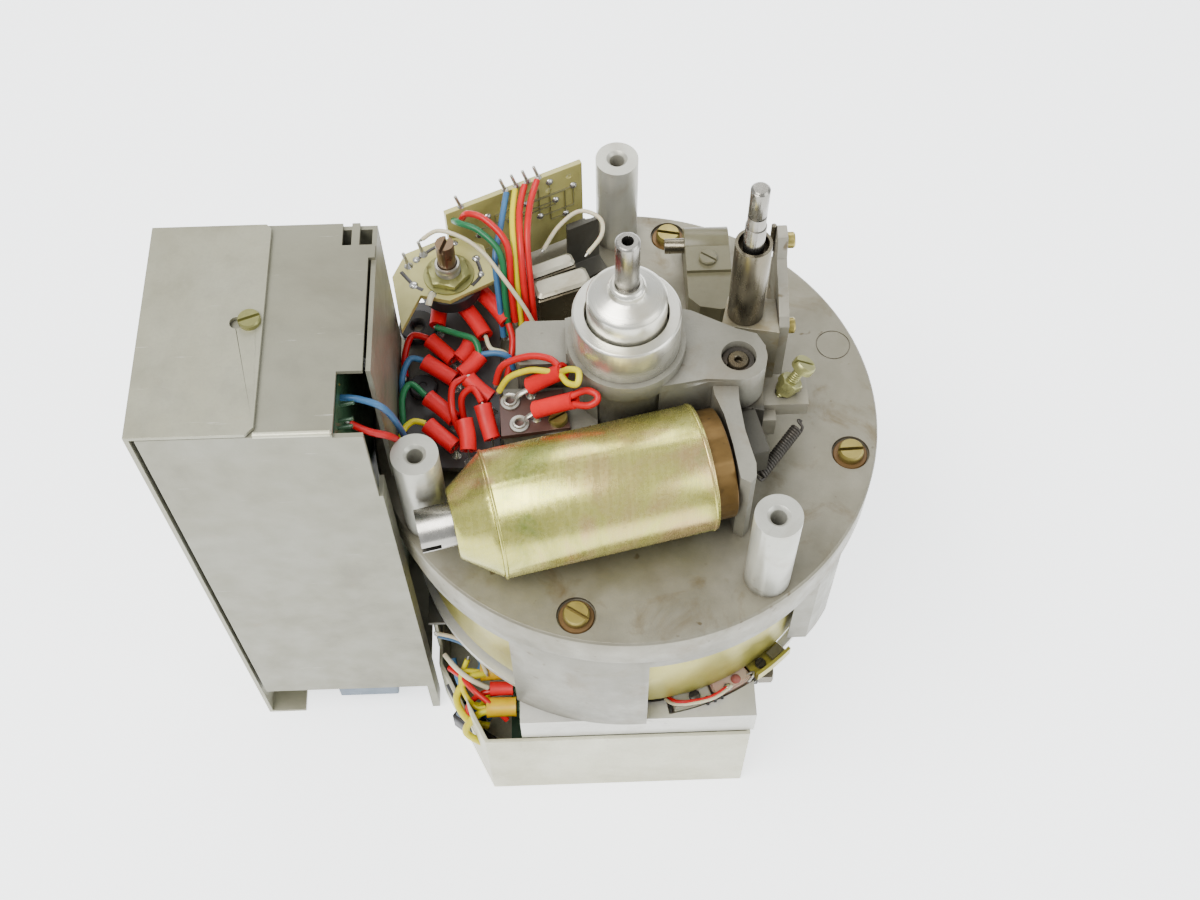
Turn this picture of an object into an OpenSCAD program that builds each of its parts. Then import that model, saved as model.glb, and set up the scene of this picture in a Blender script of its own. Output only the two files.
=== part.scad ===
// Capstan drive unit of a reel-to-reel tape recorder, with its pinch-roller solenoid and lever,
// the electronics box beside the motor and the wiring tray under it.
// Modules are written in the flange frame: its origin is the capstan axis at the top of the flange plate.
// at_stand() moves them so that the origin of the model is the middle of its footprint.

/* [Flange] */
// Radius of the round flange plate
flange_r = 70; // [69:0.5:71]
// Thickness of the flange plate
flange_t = 12; // [10:0.5:12]
// Height of the flange's top face above the surface the unit stands on
flange_height = 115; // [115:0.5:118]
// Circle radius of the four plate screws
screw_circle_r = 63; // [62:0.5:64]
// Circle radius of the three standoff posts
post_circle_r = 62.5; // [62:0.5:63]
// Radius of a standoff post
post_r = 6.05; // [5.5:0.05:6.5]
// Height of a standoff post
post_h = 34; // [30:0.5:40]
// Core radius of the thread in a post
post_thread_r = 2.1; // [1.6:0.05:2.5]

/* [Capstan and motor] */
// Radius of the capstan shaft
shaft_r = 3.05; // [2.5:0.05:3.05]
// Height of the shaft's tip above the flange
shaft_top = 76.8; // [74:0.2:80]
// Outer radius of the rotor bell
rotor_r = 63; // [61:0.5:63]
// Height of the rotor's top face
rotor_top = -20; // [-22:0.5:-20]
// Height of the rotor's open edge
rotor_bottom = -58; // [-58:0.5:-57]

/* [Solenoid] */
// Radius of the solenoid can
can_r = 16.7; // [16:0.1:16.7]
// Length of the solenoid can
can_l = 56; // [50:0.5:56]
// Angle of the solenoid axis to the X axis
can_angle = 12.5; // [12:0.1:13]
// Radius of the plunger
plunger_r = 5.7; // [5:0.1:5.7]

/* [Pinch-roller lever] */
// Radius of the roller post tube
roller_tube_r = 4.75; // [4:0.05:4.75]
// Radius of the roller pin
roller_pin_r = 2.4; // [2:0.05:2.4]
// Height of the roller pin's tip above the flange
roller_pin_top = 80; // [76:0.5:84]

/* [Electronics box and tray] */
// Outer width of the electronics box
box_w = 56; // [54:0.5:56]
// Outer depth of the electronics box
box_d = 62; // [60:0.5:62]
// Height of the box's top sheet above the flange
box_top = 60; // [58:0.5:64]
// Thickness of the sheet metal
sheet_t = 1.2; // [1:0.1:1.2]
// Height of the tray under the motor
tray_h = 41.7; // [38:0.1:41.7]

/* [Wiring] */
// Radius of an insulated wire
wire_r = 0.85; // [0.6:0.05:0.9]
// Outer radius of a terminal sleeve
sleeve_r = 2.2; // [1.8:0.1:2.2]

/* [Hidden] */
$fn = 64;
eps = 0.01;

footprint_shift = 24;
stand_z = -flange_height;
screw_angles = [-104, -14, 76, 166];
post_angles = [-150, -56, 90];

// Gap between separate parts mounted on one another
solid_gap = 0.05;

// Running clearance between a shaft and the bore it turns in
running = 0.05;

// Bearing housing
bush_r = 8;
spigot_r = 11;
boss_r = 14.2;
boss_flange_r = 15.4;
boss_flange_z = 30;
ring_z = 36.2;
ring_top = 48.4;
ring_r = 13.9;
ring_bore_r = 10.8;
lobe_top = 33;
lobe_bottom = 19;
arm_top = 30;

// Solenoid axis: the can starts here and runs along can_angle
can_start = [-36, -40.6, 18.2];
nose_l = 10;
disc_l = 5.5;
disc_r = 14.5;
push_rod_r = 3;

// Lever pivot, roller post and tail
pivot = [29, -4.2];
pivot_r = 3;
roller_post = [32.2, 12.1];
block_top = 29.4;
tail_l = 23;
tail_half_w = 2.2;
tail_gap = 0.3;
adjuster = [42.6, -4.4, 16.6];
adjuster_tilt = 32;
adjuster_heading = 25;
side_plate_x = [40.8, 43.6];
side_screws = [[27, 40.5], [26.1, 20.4], [10.5, 24.8]];
spring_start = [33.8, -27.2, 8];
spring_end = [47, -11.2, 10];

// Clamp: axis of its barrel, as y and z, and the place of its screw
clamp_barrel = [51, 8.4];
clamp_screw = [25.2, 42.4];
clamp_top = 13.2;
clamp_pin_r = 2.2;

// Motor frame and lower housing
frame_r = 69;
frame_ring_bottom = -18;
leg_bottom = [-60.9, -72.5, -72.5];
leg_inner_r = 65.3;
leg_half_angle = 16.2;
leg_angles = [-103.1, 17, 137];
pan_r = 65;
pan_top = -61;
pan_bottom = -73;
pan_left = -33;
pan_right = 36;
pan_front = -67.4;
lower_bolt = [0, -50.5, -67];

// Box and tray
box_left = -118;
box_front = -40.6;
box_right = box_left + box_w;
box_back = box_front + box_d;
box_bottom = -97;
cover_gap = 0.2;
box_screw = [-91.2, -8.7];
tray_top = stand_z + tray_h;
tray_outline = [[-44, -68.6], [35, -68.6], [35, 45], [-60, 45], [-60, -36]];
tray_inside = [[-43.2, -67.4], [33.8, -67.4], [33.8, 43.8], [-58.8, 43.8], [-58.8, -35.6]];

// Sleeved tags on the terminal boards: outer end of the sleeve, then the tag's end
sleeve_runs = [
    [[-50.9, 31.0, 13.5], [-51.6, 22.5, 12.5]],
    [[-44.6, 27.6, 15.5], [-38.1, 17.2, 14.5]],
    [[-39.6, 31.9, 15.5], [-31.9, 21.6, 14.5]],
    [[-53.5, 17.5, 13.0], [-47.0, 11.3, 12.0]],
    [[-54.7, 10.3, 13.0], [-46.4, 4.7, 12.0]],
    [[-53.6, -1.4, 13.0], [-46.2, -8.1, 12.0]],
    [[-53.4, -10.0, 13.0], [-46.0, -16.5, 12.0]],
    [[-42.0, 15.9, 13.5], [-45.3, 10.9, 12.5]],
    [[-39.4, 10.2, 15.0], [-44.4, 5.0, 14.0]],
    [[-42.4, 1.7, 17.0], [-36.4, -3.3, 15.0]],
    [[-38.4, -7.4, 18.0], [-36.0, -15.9, 14.5]],
    [[-43.4, -11.0, 16.5], [-42.4, -19.0, 14.0]]
];
lug_sleeve_runs = [
    [[-16.6, -6.2, 31.5], [-25.5, -5.0, 23.0]],
    [[-14.0, -14.6, 30.5], [-24.1, -12.3, 22.6]]
];
tray_sleeve_runs = [
    [[-46.0, -43.0, -80], [-38.0, -43.0, -80], 2.9],
    [[-43.0, -49.0, -80], [-36.0, -49.0, -80], 2.1],
    [[-44.0, -55.0, -80], [-35.0, -55.0, -80], 2.9]
];

// Boards
terminal_board_z = [6, 8];
brown_board_z = [17, 18.6];
board_screw = [-18.4, -13.1];
pot = [-47.4, 31.1];
pot_board_z = [22.8, 24.4];
pot_bottom = 17.8;
rear_board_start = [-47.8, 45.2];
rear_board_angle = 24.2;
rear_board_l = 41.6;
rear_board_z = [2, 33];

// Wire routes, from end to end
red_routes = [
    [[-53.9, 17.9, 13.1], [-58.5, 19.0, 13.0], [-60.6, 14.0, 10.5], [-60.4, 8.0, 9.4]],
    [[-31.6, 21.0, 14.4], [-30.6, 16.5, 13.0], [-31.4, 11.0, 10.5], [-32.4, 6.5, 9.4]],
    [[-42.9, 2.1, 17.2], [-46.5, -1.0, 17.5], [-46.6, -8.0, 15.5], [-44.6, -12.0, 10.0]],
    [[-38.6, -6.8, 18.3], [-41.0, -2.5, 18.5], [-44.2, -4.0, 16.0], [-43.6, -9.0, 10.0]],
    [[-34.7, -2.1, 20.2], [-32.5, -0.2, 25.8], [-25.7, -0.1, 29.6], [-20.0, -2.3, 31.4], [-17.3, -5.8, 31.8]],
    [[-15.0, -13.7, 30.6], [-11.1, -13.3, 32.8], [-8.3, -14.9, 33.4], [-8.3, -16.5, 32.6], [-10.7, -17.0, 31.4],
     [-14.4, -15.4, 29.8]],
    [[-43.6, 44.2, 31.6], [-41.5, 43.0, 35.8], [-36.5, 40.0, 36.6], [-30.9, 33.5, 33.6], [-30.3, 26.0, 23.6],
     [-29.7, 21.5, 15.0]],
    [[-26.0, 53.6, 34.2], [-27.4, 45.0, 34.0], [-27.3, 34.0, 31.0], [-26.7, 25.6, 21.0], [-26.1, 20.4, 11.0]],
    [[-22.6, 55.2, 34.2], [-24.6, 46.0, 34.4], [-25.5, 36.0, 31.4], [-24.9, 27.0, 21.6], [-24.3, 21.0, 11.0]],
    [[-69.0, -27.6, 44.0], [-64.6, -28.4, 41.0], [-59.6, -27.2, 36.0], [-57.8, -22.0, 22.0], [-56.4, -17.0, 9.4]]
];
green_routes = [
    [[-51.7, 21.9, 12.6], [-46.0, 17.6, 15.6], [-41.0, 14.6, 16.6], [-39.6, 11.0, 15.2]],
    [[-54.2, -0.9, 13.1], [-58.4, 3.0, 13.2], [-60.6, -1.0, 12.6], [-60.4, -8.0, 9.4]],
    [[-45.6, 44.2, 31.6], [-43.8, 41.0, 34.4], [-38.2, 37.4, 35.0], [-32.7, 31.7, 31.6], [-32.1, 24.6, 21.0],
     [-31.5, 20.0, 11.0]]
];
blue_routes = [
    [[-55.2, 10.6, 13.2], [-58.8, 11.0, 13.4], [-60.9, 6.0, 12.0], [-60.8, 1.0, 9.4]],
    [[-38.9, 10.6, 15.2], [-35.0, 10.4, 16.0], [-31.6, 9.6, 15.0], [-30.6, 8.6, 11.0]],
    [[-31.0, 51.2, 34.2], [-32.6, 42.0, 32.0], [-34.5, 33.5, 28.0], [-33.9, 25.4, 19.4], [-33.3, 20.0, 10.0]],
    [[-71.0, -24.0, 50.0], [-66.0, -24.6, 50.0], [-60.4, -25.0, 46.0], [-58.2, -21.6, 30.0], [-58.6, -16.0, 9.4]],
    [[-58.5, -34.0, -72.0], [-51.0, -36.0, -74.0], [-46.0, -40.0, -79.0], [-46.6, -43.0, -80.0]]
];
yellow_routes = [
    [[-54.0, -9.6, 13.1], [-57.6, -9.0, 13.2], [-60.4, -12.4, 12.4], [-60.0, -17.6, 9.4]],
    [[-33.9, -4.4, 19.8], [-31.0, -3.0, 24.2], [-25.8, -3.2, 27.6], [-21.6, -4.8, 29.6], [-17.6, -6.8, 31.0]],
    [[-17.0, -6.6, 31.6], [-14.8, -9.0, 36.4], [-12.6, -11.2, 38.4], [-13.1, -14.0, 37.2], [-15.6, -11.6, 34.2],
     [-17.4, -6.4, 30.9]],
    [[-28.6, 52.2, 34.2], [-29.4, 43.0, 33.4], [-29.1, 33.0, 30.4], [-28.5, 25.0, 20.0], [-27.9, 20.0, 10.0]],
    [[-46.4, -43.4, -79.6], [-51.6, -43.8, -79.0], [-51.2, -49.4, -80.0], [-47.6, -54.6, -80.0], [-44.4, -55.0, -80.0]],
    [[-50.0, -39.6, -78.6], [-52.4, -44.6, -84.0], [-50.4, -48.6, -89.4], [-46.6, -50.0, -90.4], [-43.4, -47.0, -87.0]]
];
cream_routes = [
    [[-54.5, 41.0, 28.0], [-50.0, 41.6, 30.6], [-43.4, 38.4, 31.4], [-37.6, 33.6, 30.6], [-32.4, 27.0, 28.0],
     [-26.4, 21.4, 20.0], [-23.0, 18.6, 11.0]],
    [[-21.4, 41.5, 21.0], [-17.0, 47.0, 24.0], [-11.0, 51.0, 25.6], [-5.4, 48.8, 25.0], [-5.0, 44.0, 23.6],
     [-9.0, 39.4, 21.4]],
    [[-37.9, 16.9, 14.6], [-36.4, 12.0, 16.0], [-32.6, 11.4, 14.4], [-30.2, 10.2, 9.4]],
    [[-58.0, -36.0, -66.0], [-52.0, -37.4, -67.4], [-47.0, -40.0, -70.6], [-44.0, -45.0, -76.6]]
];
wire_sides = 8;
wire_steps = 3;

// ---------- helpers ----------

function polar(r, a) = [r * cos(a), r * sin(a)];
function unit(v) = v / norm(v);
function reject(v, axis) = v - (v * axis) * axis;

// One point of a smooth curve through the four control points around a segment
function curve_point(a, b, c, d, t) =
    0.5 * (2 * b + (c - a) * t + (2 * a - 5 * b + 4 * c - d) * t * t + (3 * b - a - 3 * c + d) * t * t * t);
function smooth_route(p) =
    let (last = len(p) - 1)
    concat([for (i = [0:last - 1]) each [for (s = [0:wire_steps - 1])
        curve_point(p[max(i - 1, 0)], p[i], p[i + 1], p[min(i + 2, last)], s / wire_steps)]], [p[last]]);
function tangents(p) =
    [for (i = [0:len(p) - 1]) unit(p[min(i + 1, len(p) - 1)] - p[max(i - 1, 0)])];
function first_normal(t) = unit(cross(t, abs(t.z) < 0.8 ? [0, 0, 1] : [1, 0, 0]));
function normals(t) =
    [for (i = 0, n = first_normal(t[0]); i < len(t);
        n = unit(reject(n, t[min(i + 1, len(t) - 1)])), i = i + 1) n];

module wire(route, r = wire_r) {
    p = smooth_route(route);
    t = tangents(p);
    n = normals(t);
    rings = len(p);
    sides = wire_sides;
    points = [for (i = [0:rings - 1]) each [for (k = [0:sides - 1])
        p[i] + r * (cos(360 * k / sides) * n[i] + sin(360 * k / sides) * cross(t[i], n[i]))]];
    walls = [for (i = [0:rings - 2]) each [for (k = [0:sides - 1])
        let (a = i * sides + k, b = i * sides + (k + 1) % sides) each [[a, a + sides, b], [b, a + sides, b + sides]]]];
    start_cap = [for (k = [0:sides - 1]) k];
    end_cap = [for (k = [0:sides - 1]) rings * sides - 1 - k];
    polyhedron(points, concat(walls, [start_cap, end_cap]), convexity = 10);
}

module wires(routes) {
    for (route = routes)
        wire(route);
}

module at_stand() {
    translate([footprint_shift, 0, flange_height])
        children();
}

module rod(from, to, r) {
    run = to - from;
    translate(from)
        rotate([0, acos(run.z / norm(run)), atan2(run.y, run.x)])
            cylinder(r = r, h = norm(run));
}

module hollow_rod(from, to, r, bore) {
    run = to - from;
    translate(from)
        rotate([0, acos(run.z / norm(run)), atan2(run.y, run.x)])
            pipe(r, bore, 0, norm(run));
}

module disc(r, z0, z1) {
    translate([0, 0, z0])
        cylinder(r = r, h = z1 - z0, $fn = 128);
}

module pipe(r, bore, z0, z1) {
    difference() {
        disc(r, z0, z1);
        disc(bore, z0 - 1, z1 + 1);
    }
}

module slab(x0, x1, y0, y1, z0, z1) {
    translate([x0, y0, z0])
        cube([x1 - x0, y1 - y0, z1 - z0]);
}

module plate_shape(outline, z0, z1) {
    translate([0, 0, z0])
        linear_extrude(z1 - z0)
            polygon(outline);
}

// Wedge that reaches past any ring it cuts
module wedge(a0, a1, z0, z1, reach = 120) {
    middle = (a0 + a1) / 2;
    plate_shape([[0, 0], polar(reach, a0), polar(reach, middle), polar(reach, a1)], z0, z1);
}

module ring_sector(r, bore, a0, a1, z0, z1) {
    intersection() {
        pipe(r, bore, z0, z1);
        wedge(a0, a1, z0 - 1, z1 + 1);
    }
}

// Slotted cheese head standing on z = 0
module slotted_head(r, h, slot_w) {
    difference() {
        cylinder(r = r, h = h);
        slab(-r - 1, r + 1, -slot_w / 2, slot_w / 2, h * 0.5, h + 1);
    }
}

module along_solenoid(t) {
    translate(can_start)
        rotate([0, 0, can_angle])
            translate([t, 0, 0])
                rotate([0, 90, 0])
                    children();
}

module at_adjuster() {
    translate(adjuster)
        rotate([0, adjuster_tilt, adjuster_heading])
            children();
}

// ---------- flange and motor frame ----------

module flange_plate() {
    counterbore_r = 5.2;
    counterbore_depth = 1.2;
    filled_hole = [60.2, 20.4];
    color("silver") at_stand()
        difference() {
            rotate_extrude($fn = 180)
                polygon([[spigot_r, -flange_t], [flange_r, -flange_t], [flange_r, -0.6],
                    [flange_r - 0.6, 0], [spigot_r, 0]]);
            for (a = screw_angles)
                translate(polar(screw_circle_r, a)) {
                    disc(counterbore_r, -counterbore_depth, 1);
                    disc(2.2, -flange_t - 1, 1);
                }
            translate(filled_hole)
                pipe(4.9, 4.6, -0.25, 1);
        }
}

module motor_frame() {
    lug = [[46.5, -45], [52, -45], [60, -36], [47, -36]];
    color("darkgray") at_stand()
        difference() {
            union() {
                pipe(frame_r, 58, frame_ring_bottom, -flange_t);
                for (i = [0:2])
                    ring_sector(frame_r, leg_inner_r, leg_angles[i] - leg_half_angle, leg_angles[i] + leg_half_angle,
                        leg_bottom[i], frame_ring_bottom + eps);
                intersection() {
                    pipe(frame_r, 64.3, -57, frame_ring_bottom + eps);
                    plate_shape(lug, -58, frame_ring_bottom + 1);
                }
            }
            for (a = screw_angles)
                translate(polar(screw_circle_r, a))
                    disc(2, -16, 0);
        }
}

module mounting_posts() {
    thread_depth = 20;
    color("gainsboro") at_stand()
        for (a = post_angles)
            translate(polar(post_circle_r, a))
                difference() {
                    disc(post_r, 0, post_h);
                    disc(post_thread_r, post_h - thread_depth, post_h + 1);
                    translate([0, 0, post_h - 0.9])
                        cylinder(r1 = post_thread_r, r2 = post_thread_r + 0.9 + eps, h = 0.9 + eps);
                }
}

module plate_screws() {
    color("darkkhaki") at_stand()
        for (a = screw_angles)
            translate(polar(screw_circle_r, a)) {
                translate([0, 0, -0.7])
                    rotate(a + 65)
                        slotted_head(3.5, 2.6, 1);
                disc(2, -16, -0.7 + eps);
            }
}

module plate_washers() {
    color("saddlebrown") at_stand()
        for (a = screw_angles)
            translate(polar(screw_circle_r, a))
                pipe(4.6, 2.2, -1.2, -0.7);
}

// ---------- capstan bearing ----------

module bearing_housing() {
    wing = [[-29, -0.6], [-28, -1.6], [-12, -1.6], [-12, 12.2], [-26.5, 12.2], [-29, 9.7]];
    saddle = [[-15.8, -1], [-15.8, 10], [-8, 12], [-8, -12.5], [-11.5, -9.5], [-12.8, -5]];
    foot = [[-33, -16], [-33, -2], [-8, -2], [-8, -14], [-18, -16.5]];
    web = [[6, 13.4], [17.5, 10.6], [29, 4.4], [34.2, 2.6], [36.2, -1.4], [36, -6], [33.4, -10],
        [28.4, -11.6], [20, -11], [8, -13]];
    lobe_web = [[12, -11], [28.4, -11.6], [29, 2.8], [20, 2.6], [12, 6]];
    front_wall = [[8, -12.6], [22, -11.2], [22, -8], [8, -8]];
    arm = [[21.5, -8], [22.2, -14], [24.2, -20], [25.8, -29], [27, -38.7], [29.4, -40.2], [31, -38.2],
        [31.2, -34.6], [29.2, -24.8], [28.4, -15.8], [28.6, -10]];
    color("silver") at_stand()
        difference() {
            union() {
                disc(spigot_r, -flange_t, eps);
                disc(boss_r, 0, ring_z);
                disc(boss_flange_r, boss_flange_z, ring_z);
                plate_shape(wing, 0, 28);
                plate_shape(saddle, 0, 32);
                plate_shape(foot, 0, brown_board_z[0]);
                plate_shape(web, boss_flange_z, lobe_top);
                plate_shape(lobe_web, lobe_bottom + 1, lobe_top - 1);
                plate_shape(front_wall, 0, lobe_top - 1);
                plate_shape(arm, 0, arm_top);
                translate(pivot)
                    disc(7.4, lobe_bottom, lobe_top);
            }
            disc(bush_r, -flange_t - 1, ring_z + 1);
            translate(pivot) {
                disc(pivot_r + running, lobe_bottom - 1, lobe_top + 1);
                disc(4.6, lobe_top - 5, lobe_top + 1);
            }
            // Room for the lever under the lobe, and the push rod's way through the arm
            translate(pivot)
                disc(9.5, 4, lobe_bottom);
            along_solenoid(can_l + disc_l)
                cylinder(r = push_rod_r + 0.4, h = 14);
            translate(board_screw)
                disc(1.5, 6, 20);
        }
}

module bearing_ring() {
    color("whitesmoke") at_stand()
        difference() {
            disc(ring_r, ring_z, ring_top);
            disc(ring_bore_r, ring_z + 5, ring_top + 1);
            disc(shaft_r + 1, ring_z - 1, ring_top);
            rotate_extrude($fn = 128)
                polygon([[ring_r - 0.5, ring_top + eps], [ring_r + 1, ring_top + eps], [ring_r + 1, ring_top - 1]]);
        }
}

module bearing_bushes() {
    color("peru") at_stand() {
        pipe(bush_r, shaft_r + running, 4, 34);
        pipe(bush_r, shaft_r + running, -70, -58);
        disc(4, -73, -71.4);
    }
}

module capstan_shaft() {
    tip_hole_r = 1.5;
    groove_z = 60.5;
    color("lightsteelblue") at_stand()
        rotate_extrude()
            polygon([[0, -71.2], [shaft_r, -71.2], [shaft_r, groove_z], [shaft_r - 0.2, groove_z],
                [shaft_r - 0.2, groove_z + 0.6], [shaft_r, groove_z + 0.6], [shaft_r, shaft_top - 0.5],
                [shaft_r - 0.5, shaft_top], [tip_hole_r, shaft_top], [tip_hole_r, shaft_top - 5],
                [0, shaft_top - 5]]);
}

module dust_cap() {
    color("whitesmoke") at_stand()
        rotate_extrude($fn = 128)
            polygon([[shaft_r, 53], [9.2, 53], [9.2, 44], [10.2, 44], [10.2, 54.4], [9.6, 55.3],
                [4.8, 57.8], [4.7, 59.4], [3.9, 60.3], [shaft_r, 60.3]]);
}

// ---------- outer-rotor motor ----------

module rotor_bell() {
    wall_t = 4;
    color("goldenrod") at_stand()
        difference() {
            union() {
                pipe(rotor_r, rotor_r - wall_t, rotor_bottom, rotor_top);
                disc(rotor_r, rotor_top - 4, rotor_top);
                disc(9, rotor_top - 14, rotor_top);
            }
            disc(shaft_r, rotor_top - 20, rotor_top + 1);
        }
}

module rotor_magnets() {
    count = 8;
    color("dimgray") at_stand()
        for (i = [0:count - 1])
            ring_sector(rotor_r - 4, 57, i * 360 / count + 2, (i + 1) * 360 / count - 2, -56, -28);
}

module stator_core() {
    slots = 12;
    color("slategray") at_stand()
        difference() {
            pipe(56, 14, -53, -31);
            for (i = [0:slots - 1])
                rotate(i * 360 / slots)
                    translate([22, 0, 0])
                        plate_shape([[0, -2.5], [26, -7.5], [28, -7.5], [28, -1.2], [36, -1.2],
                            [36, 1.2], [28, 1.2], [28, 7.5], [26, 7.5], [0, 2.5]], -60, -20);
        }
}

module stator_windings() {
    coils = 12;
    color("chocolate") at_stand()
        for (i = [0:coils - 1])
            rotate((i + 0.5) * 360 / coils)
                difference() {
                    slab(34, 47, -8.2, 8.2, -56, -28);
                    slab(33, 48, -5.8, 5.8, -53.2, -30.8);
                }
}

module lower_housing() {
    wall_t = 2.5;
    closing_x = pan_left + wall_t;
    color("lightgray") at_stand()
        difference() {
            union() {
                intersection() {
                    difference() {
                        union() {
                            disc(pan_r, pan_bottom, pan_top);
                            slab(pan_left, pan_right, pan_front, -20, pan_bottom, pan_top);
                        }
                        intersection() {
                            disc(pan_r - wall_t, pan_bottom + 3, pan_top + 1);
                            slab(closing_x, pan_right - wall_t, -80, 80, pan_bottom, pan_top + 2);
                        }
                    }
                    slab(pan_left, pan_right, -80, 80, pan_bottom - 1, pan_top + 1);
                }
                pipe(pan_r, pan_r - wall_t, pan_top - wall_t, pan_top);
                intersection() {
                    disc(pan_r, pan_top - wall_t, pan_top);
                    slab(-80, closing_x, -80, 80, -80, -50);
                }
                disc(14, pan_bottom, -36);
            }
            disc(bush_r, -70, 0);
            disc(4, pan_bottom - 1, -50);
            // Window for the speed pickup heads
            ring_sector(67, 60, -81, -45.5, -68, -50);
            translate(lower_bolt)
                rotate([0, 90, 0])
                    disc(2, 30, 40);
        }
}

// ---------- solenoid ----------

module solenoid_can() {
    color("darkkhaki") at_stand()
        along_solenoid(0)
            pipe(can_r, can_r - 1.2, 0, can_l);
}

module solenoid_nose() {
    color("khaki") at_stand()
        along_solenoid(-nose_l)
            difference() {
                union() {
                    cylinder(r1 = 9, r2 = can_r - 0.4, h = nose_l, $fn = 128);
                    disc(can_r - 1.2, nose_l, nose_l + 3);
                }
                disc(plunger_r + 0.35, -1, nose_l + 4);
            }
}

module solenoid_end_disc() {
    color("peru") at_stand()
        along_solenoid(can_l)
            union() {
                pipe(disc_r, push_rod_r + 0.4, 0, disc_l);
                pipe(can_r - 1.2, push_rod_r + 0.4, -3, eps);
            }
}

module solenoid_winding() {
    color("sienna") at_stand()
        along_solenoid(0)
            pipe(can_r - 1.6, plunger_r + 1, 3, can_l - 3);
}

module solenoid_plunger() {
    stick_out = 19;
    inner_end = 30;
    tip_t = (pivot.x - can_start.x) * cos(can_angle) + (pivot.y - can_start.y) * sin(can_angle)
        - tail_half_w - tail_gap;
    color("lightsteelblue") at_stand()
        along_solenoid(0)
            difference() {
                union() {
                    disc(plunger_r, -stick_out, inner_end);
                    disc(push_rod_r, inner_end, tip_t);
                }
                slab(-1, 1, -8, 8, -stick_out - 1, -stick_out + 5);
            }
}

// ---------- pinch-roller lever ----------

module pivot_shaft() {
    color("gray") at_stand()
        translate(pivot) {
            difference() {
                disc(pivot_r, 4.6, 31.4);
                pipe(pivot_r + 1, pivot_r - 0.5, 29.4, 30.4);
            }
            difference() {
                pipe(4.1, pivot_r - 0.5, 29.5, 30.3);
                slab(-6, -1, -1, 1, 29, 31);
            }
        }
}

module pinch_lever() {
    arm = [[26, -9.4], [36.2, -12.2], [36.2, 0.2], [39.4, 8], [27, 9], [24.6, 2]];
    block = [[25.6, 8], [40.8, 5], [40.8, 16], [28, 17.4]];
    color("dimgray") at_stand()
        difference() {
            union() {
                plate_shape(arm, 6, lobe_bottom - 0.5);
                plate_shape(block, 6, block_top);
                translate(pivot) {
                    disc(6.6, 6, lobe_bottom - 0.5);
                    rotate(can_angle) {
                        slab(-tail_half_w, tail_half_w, -tail_l, 0, 11.5, lobe_bottom - 0.8);
                        slab(-tail_half_w, tail_half_w, -tail_l, -10, 12, 21.6);
                    }
                }
            }
            translate(pivot)
                disc(pivot_r, 0, 40);
        }
}

module roller_post_tube() {
    recess_z = 56;
    pin_z = 40;
    color("gray") at_stand()
        translate(roller_post)
            difference() {
                disc(roller_tube_r, block_top, 59);
                disc(roller_tube_r - 0.8, recess_z, 60);
                disc(roller_pin_r + 0.3, pin_z, 60);
            }
}

module roller_pin() {
    groove_z = 70;
    color("lightsteelblue") at_stand()
        translate(roller_post)
            union() {
                disc(roller_pin_r + 0.3, 40, 66);
                disc(roller_pin_r, 66 - eps, groove_z);
                disc(roller_pin_r - 0.3, groove_z - eps, groove_z + 0.7);
                disc(roller_pin_r, groove_z + 0.7 - eps, roller_pin_top - 0.6);
                translate([0, 0, roller_pin_top - 0.6 - eps])
                    cylinder(r1 = roller_pin_r, r2 = roller_pin_r - 0.6, h = 0.6 + eps);
            }
}

module lever_side_plate() {
    outline = [[7, 6], [29.4, 6], [29.4, 44], [25, 44], [22.6, 38], [9, 31], [7, 29]];
    color("darkgray") at_stand()
        difference() {
            translate([side_plate_x[0], 0, 0])
                rotate([90, 0, 90])
                    linear_extrude(side_plate_x[1] - side_plate_x[0])
                        polygon(outline);
            for (s = side_screws)
                translate([0, s[0], s[1]])
                    rotate([0, 90, 0])
                        disc(1, side_plate_x[0] - 1, side_plate_x[1] + 1);
        }
}

module side_plate_screws() {
    color("gold") at_stand()
        for (s = side_screws)
            translate([0, s[0], s[1]])
                rotate([0, 90, 0]) {
                    disc(1, side_plate_x[0] + 0.2, side_plate_x[1] + eps);
                    translate([0, 0, side_plate_x[1]])
                        rotate(40)
                            slotted_head(2.2, 2, 0.6);
                }
}

module adjuster_bracket() {
    color("darkgray") at_stand()
        difference() {
            union() {
                slab(36.2, 48.6, -8.8, 0, 13.4, 15.6);
                slab(36.2, 48.6, -8.8, -7, 10.6, 13.4 + eps);
                slab(36.2, 39.8, -12.2, -3.4, 6, 13.4 + eps);
            }
            at_adjuster()
                disc(1.9, -8, 3);
        }
}

module adjusting_screw() {
    color("palegoldenrod") at_stand()
        at_adjuster() {
            disc(1.5, -6, 8 + eps);
            translate([0, 0, 8])
                rotate(15)
                    slotted_head(3.1, 2.2, 0.8);
        }
}

module adjusting_nut() {
    color("gold") at_stand()
        at_adjuster()
            difference() {
                translate([0, 0, 1.2])
                    cylinder(r = 3.4, h = 2.4, $fn = 6);
                disc(1.5, 0, 4);
            }
}

module return_spring() {
    color("dimgray") at_stand()
        hollow_rod(spring_start, spring_end, 1.8, 1);
}

// ---------- clamp ----------

module clamp_block() {
    body = [[19, 30], [22, 26.8], [27.8, 25.6], [31.7, 26.2], [31.7, 47], [19, 47]];
    color("tan") at_stand()
        difference() {
            union() {
                plate_shape(body, 0, 12);
                slab(19, 31.7, 38.4, 47, 12 - eps, clamp_top);
                translate([19, clamp_barrel.x, clamp_barrel.y])
                    rotate([0, 90, 0])
                        cylinder(r = 5.2, h = 12.7);
                slab(19, 31.7, 46, 54.6, 0, 5);
            }
            translate([18, clamp_barrel.x, clamp_barrel.y])
                rotate([0, 90, 0])
                    cylinder(r = clamp_pin_r, h = 14);
            translate(clamp_screw)
                disc(1.5, 2, clamp_top + 1);
        }
}

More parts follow.
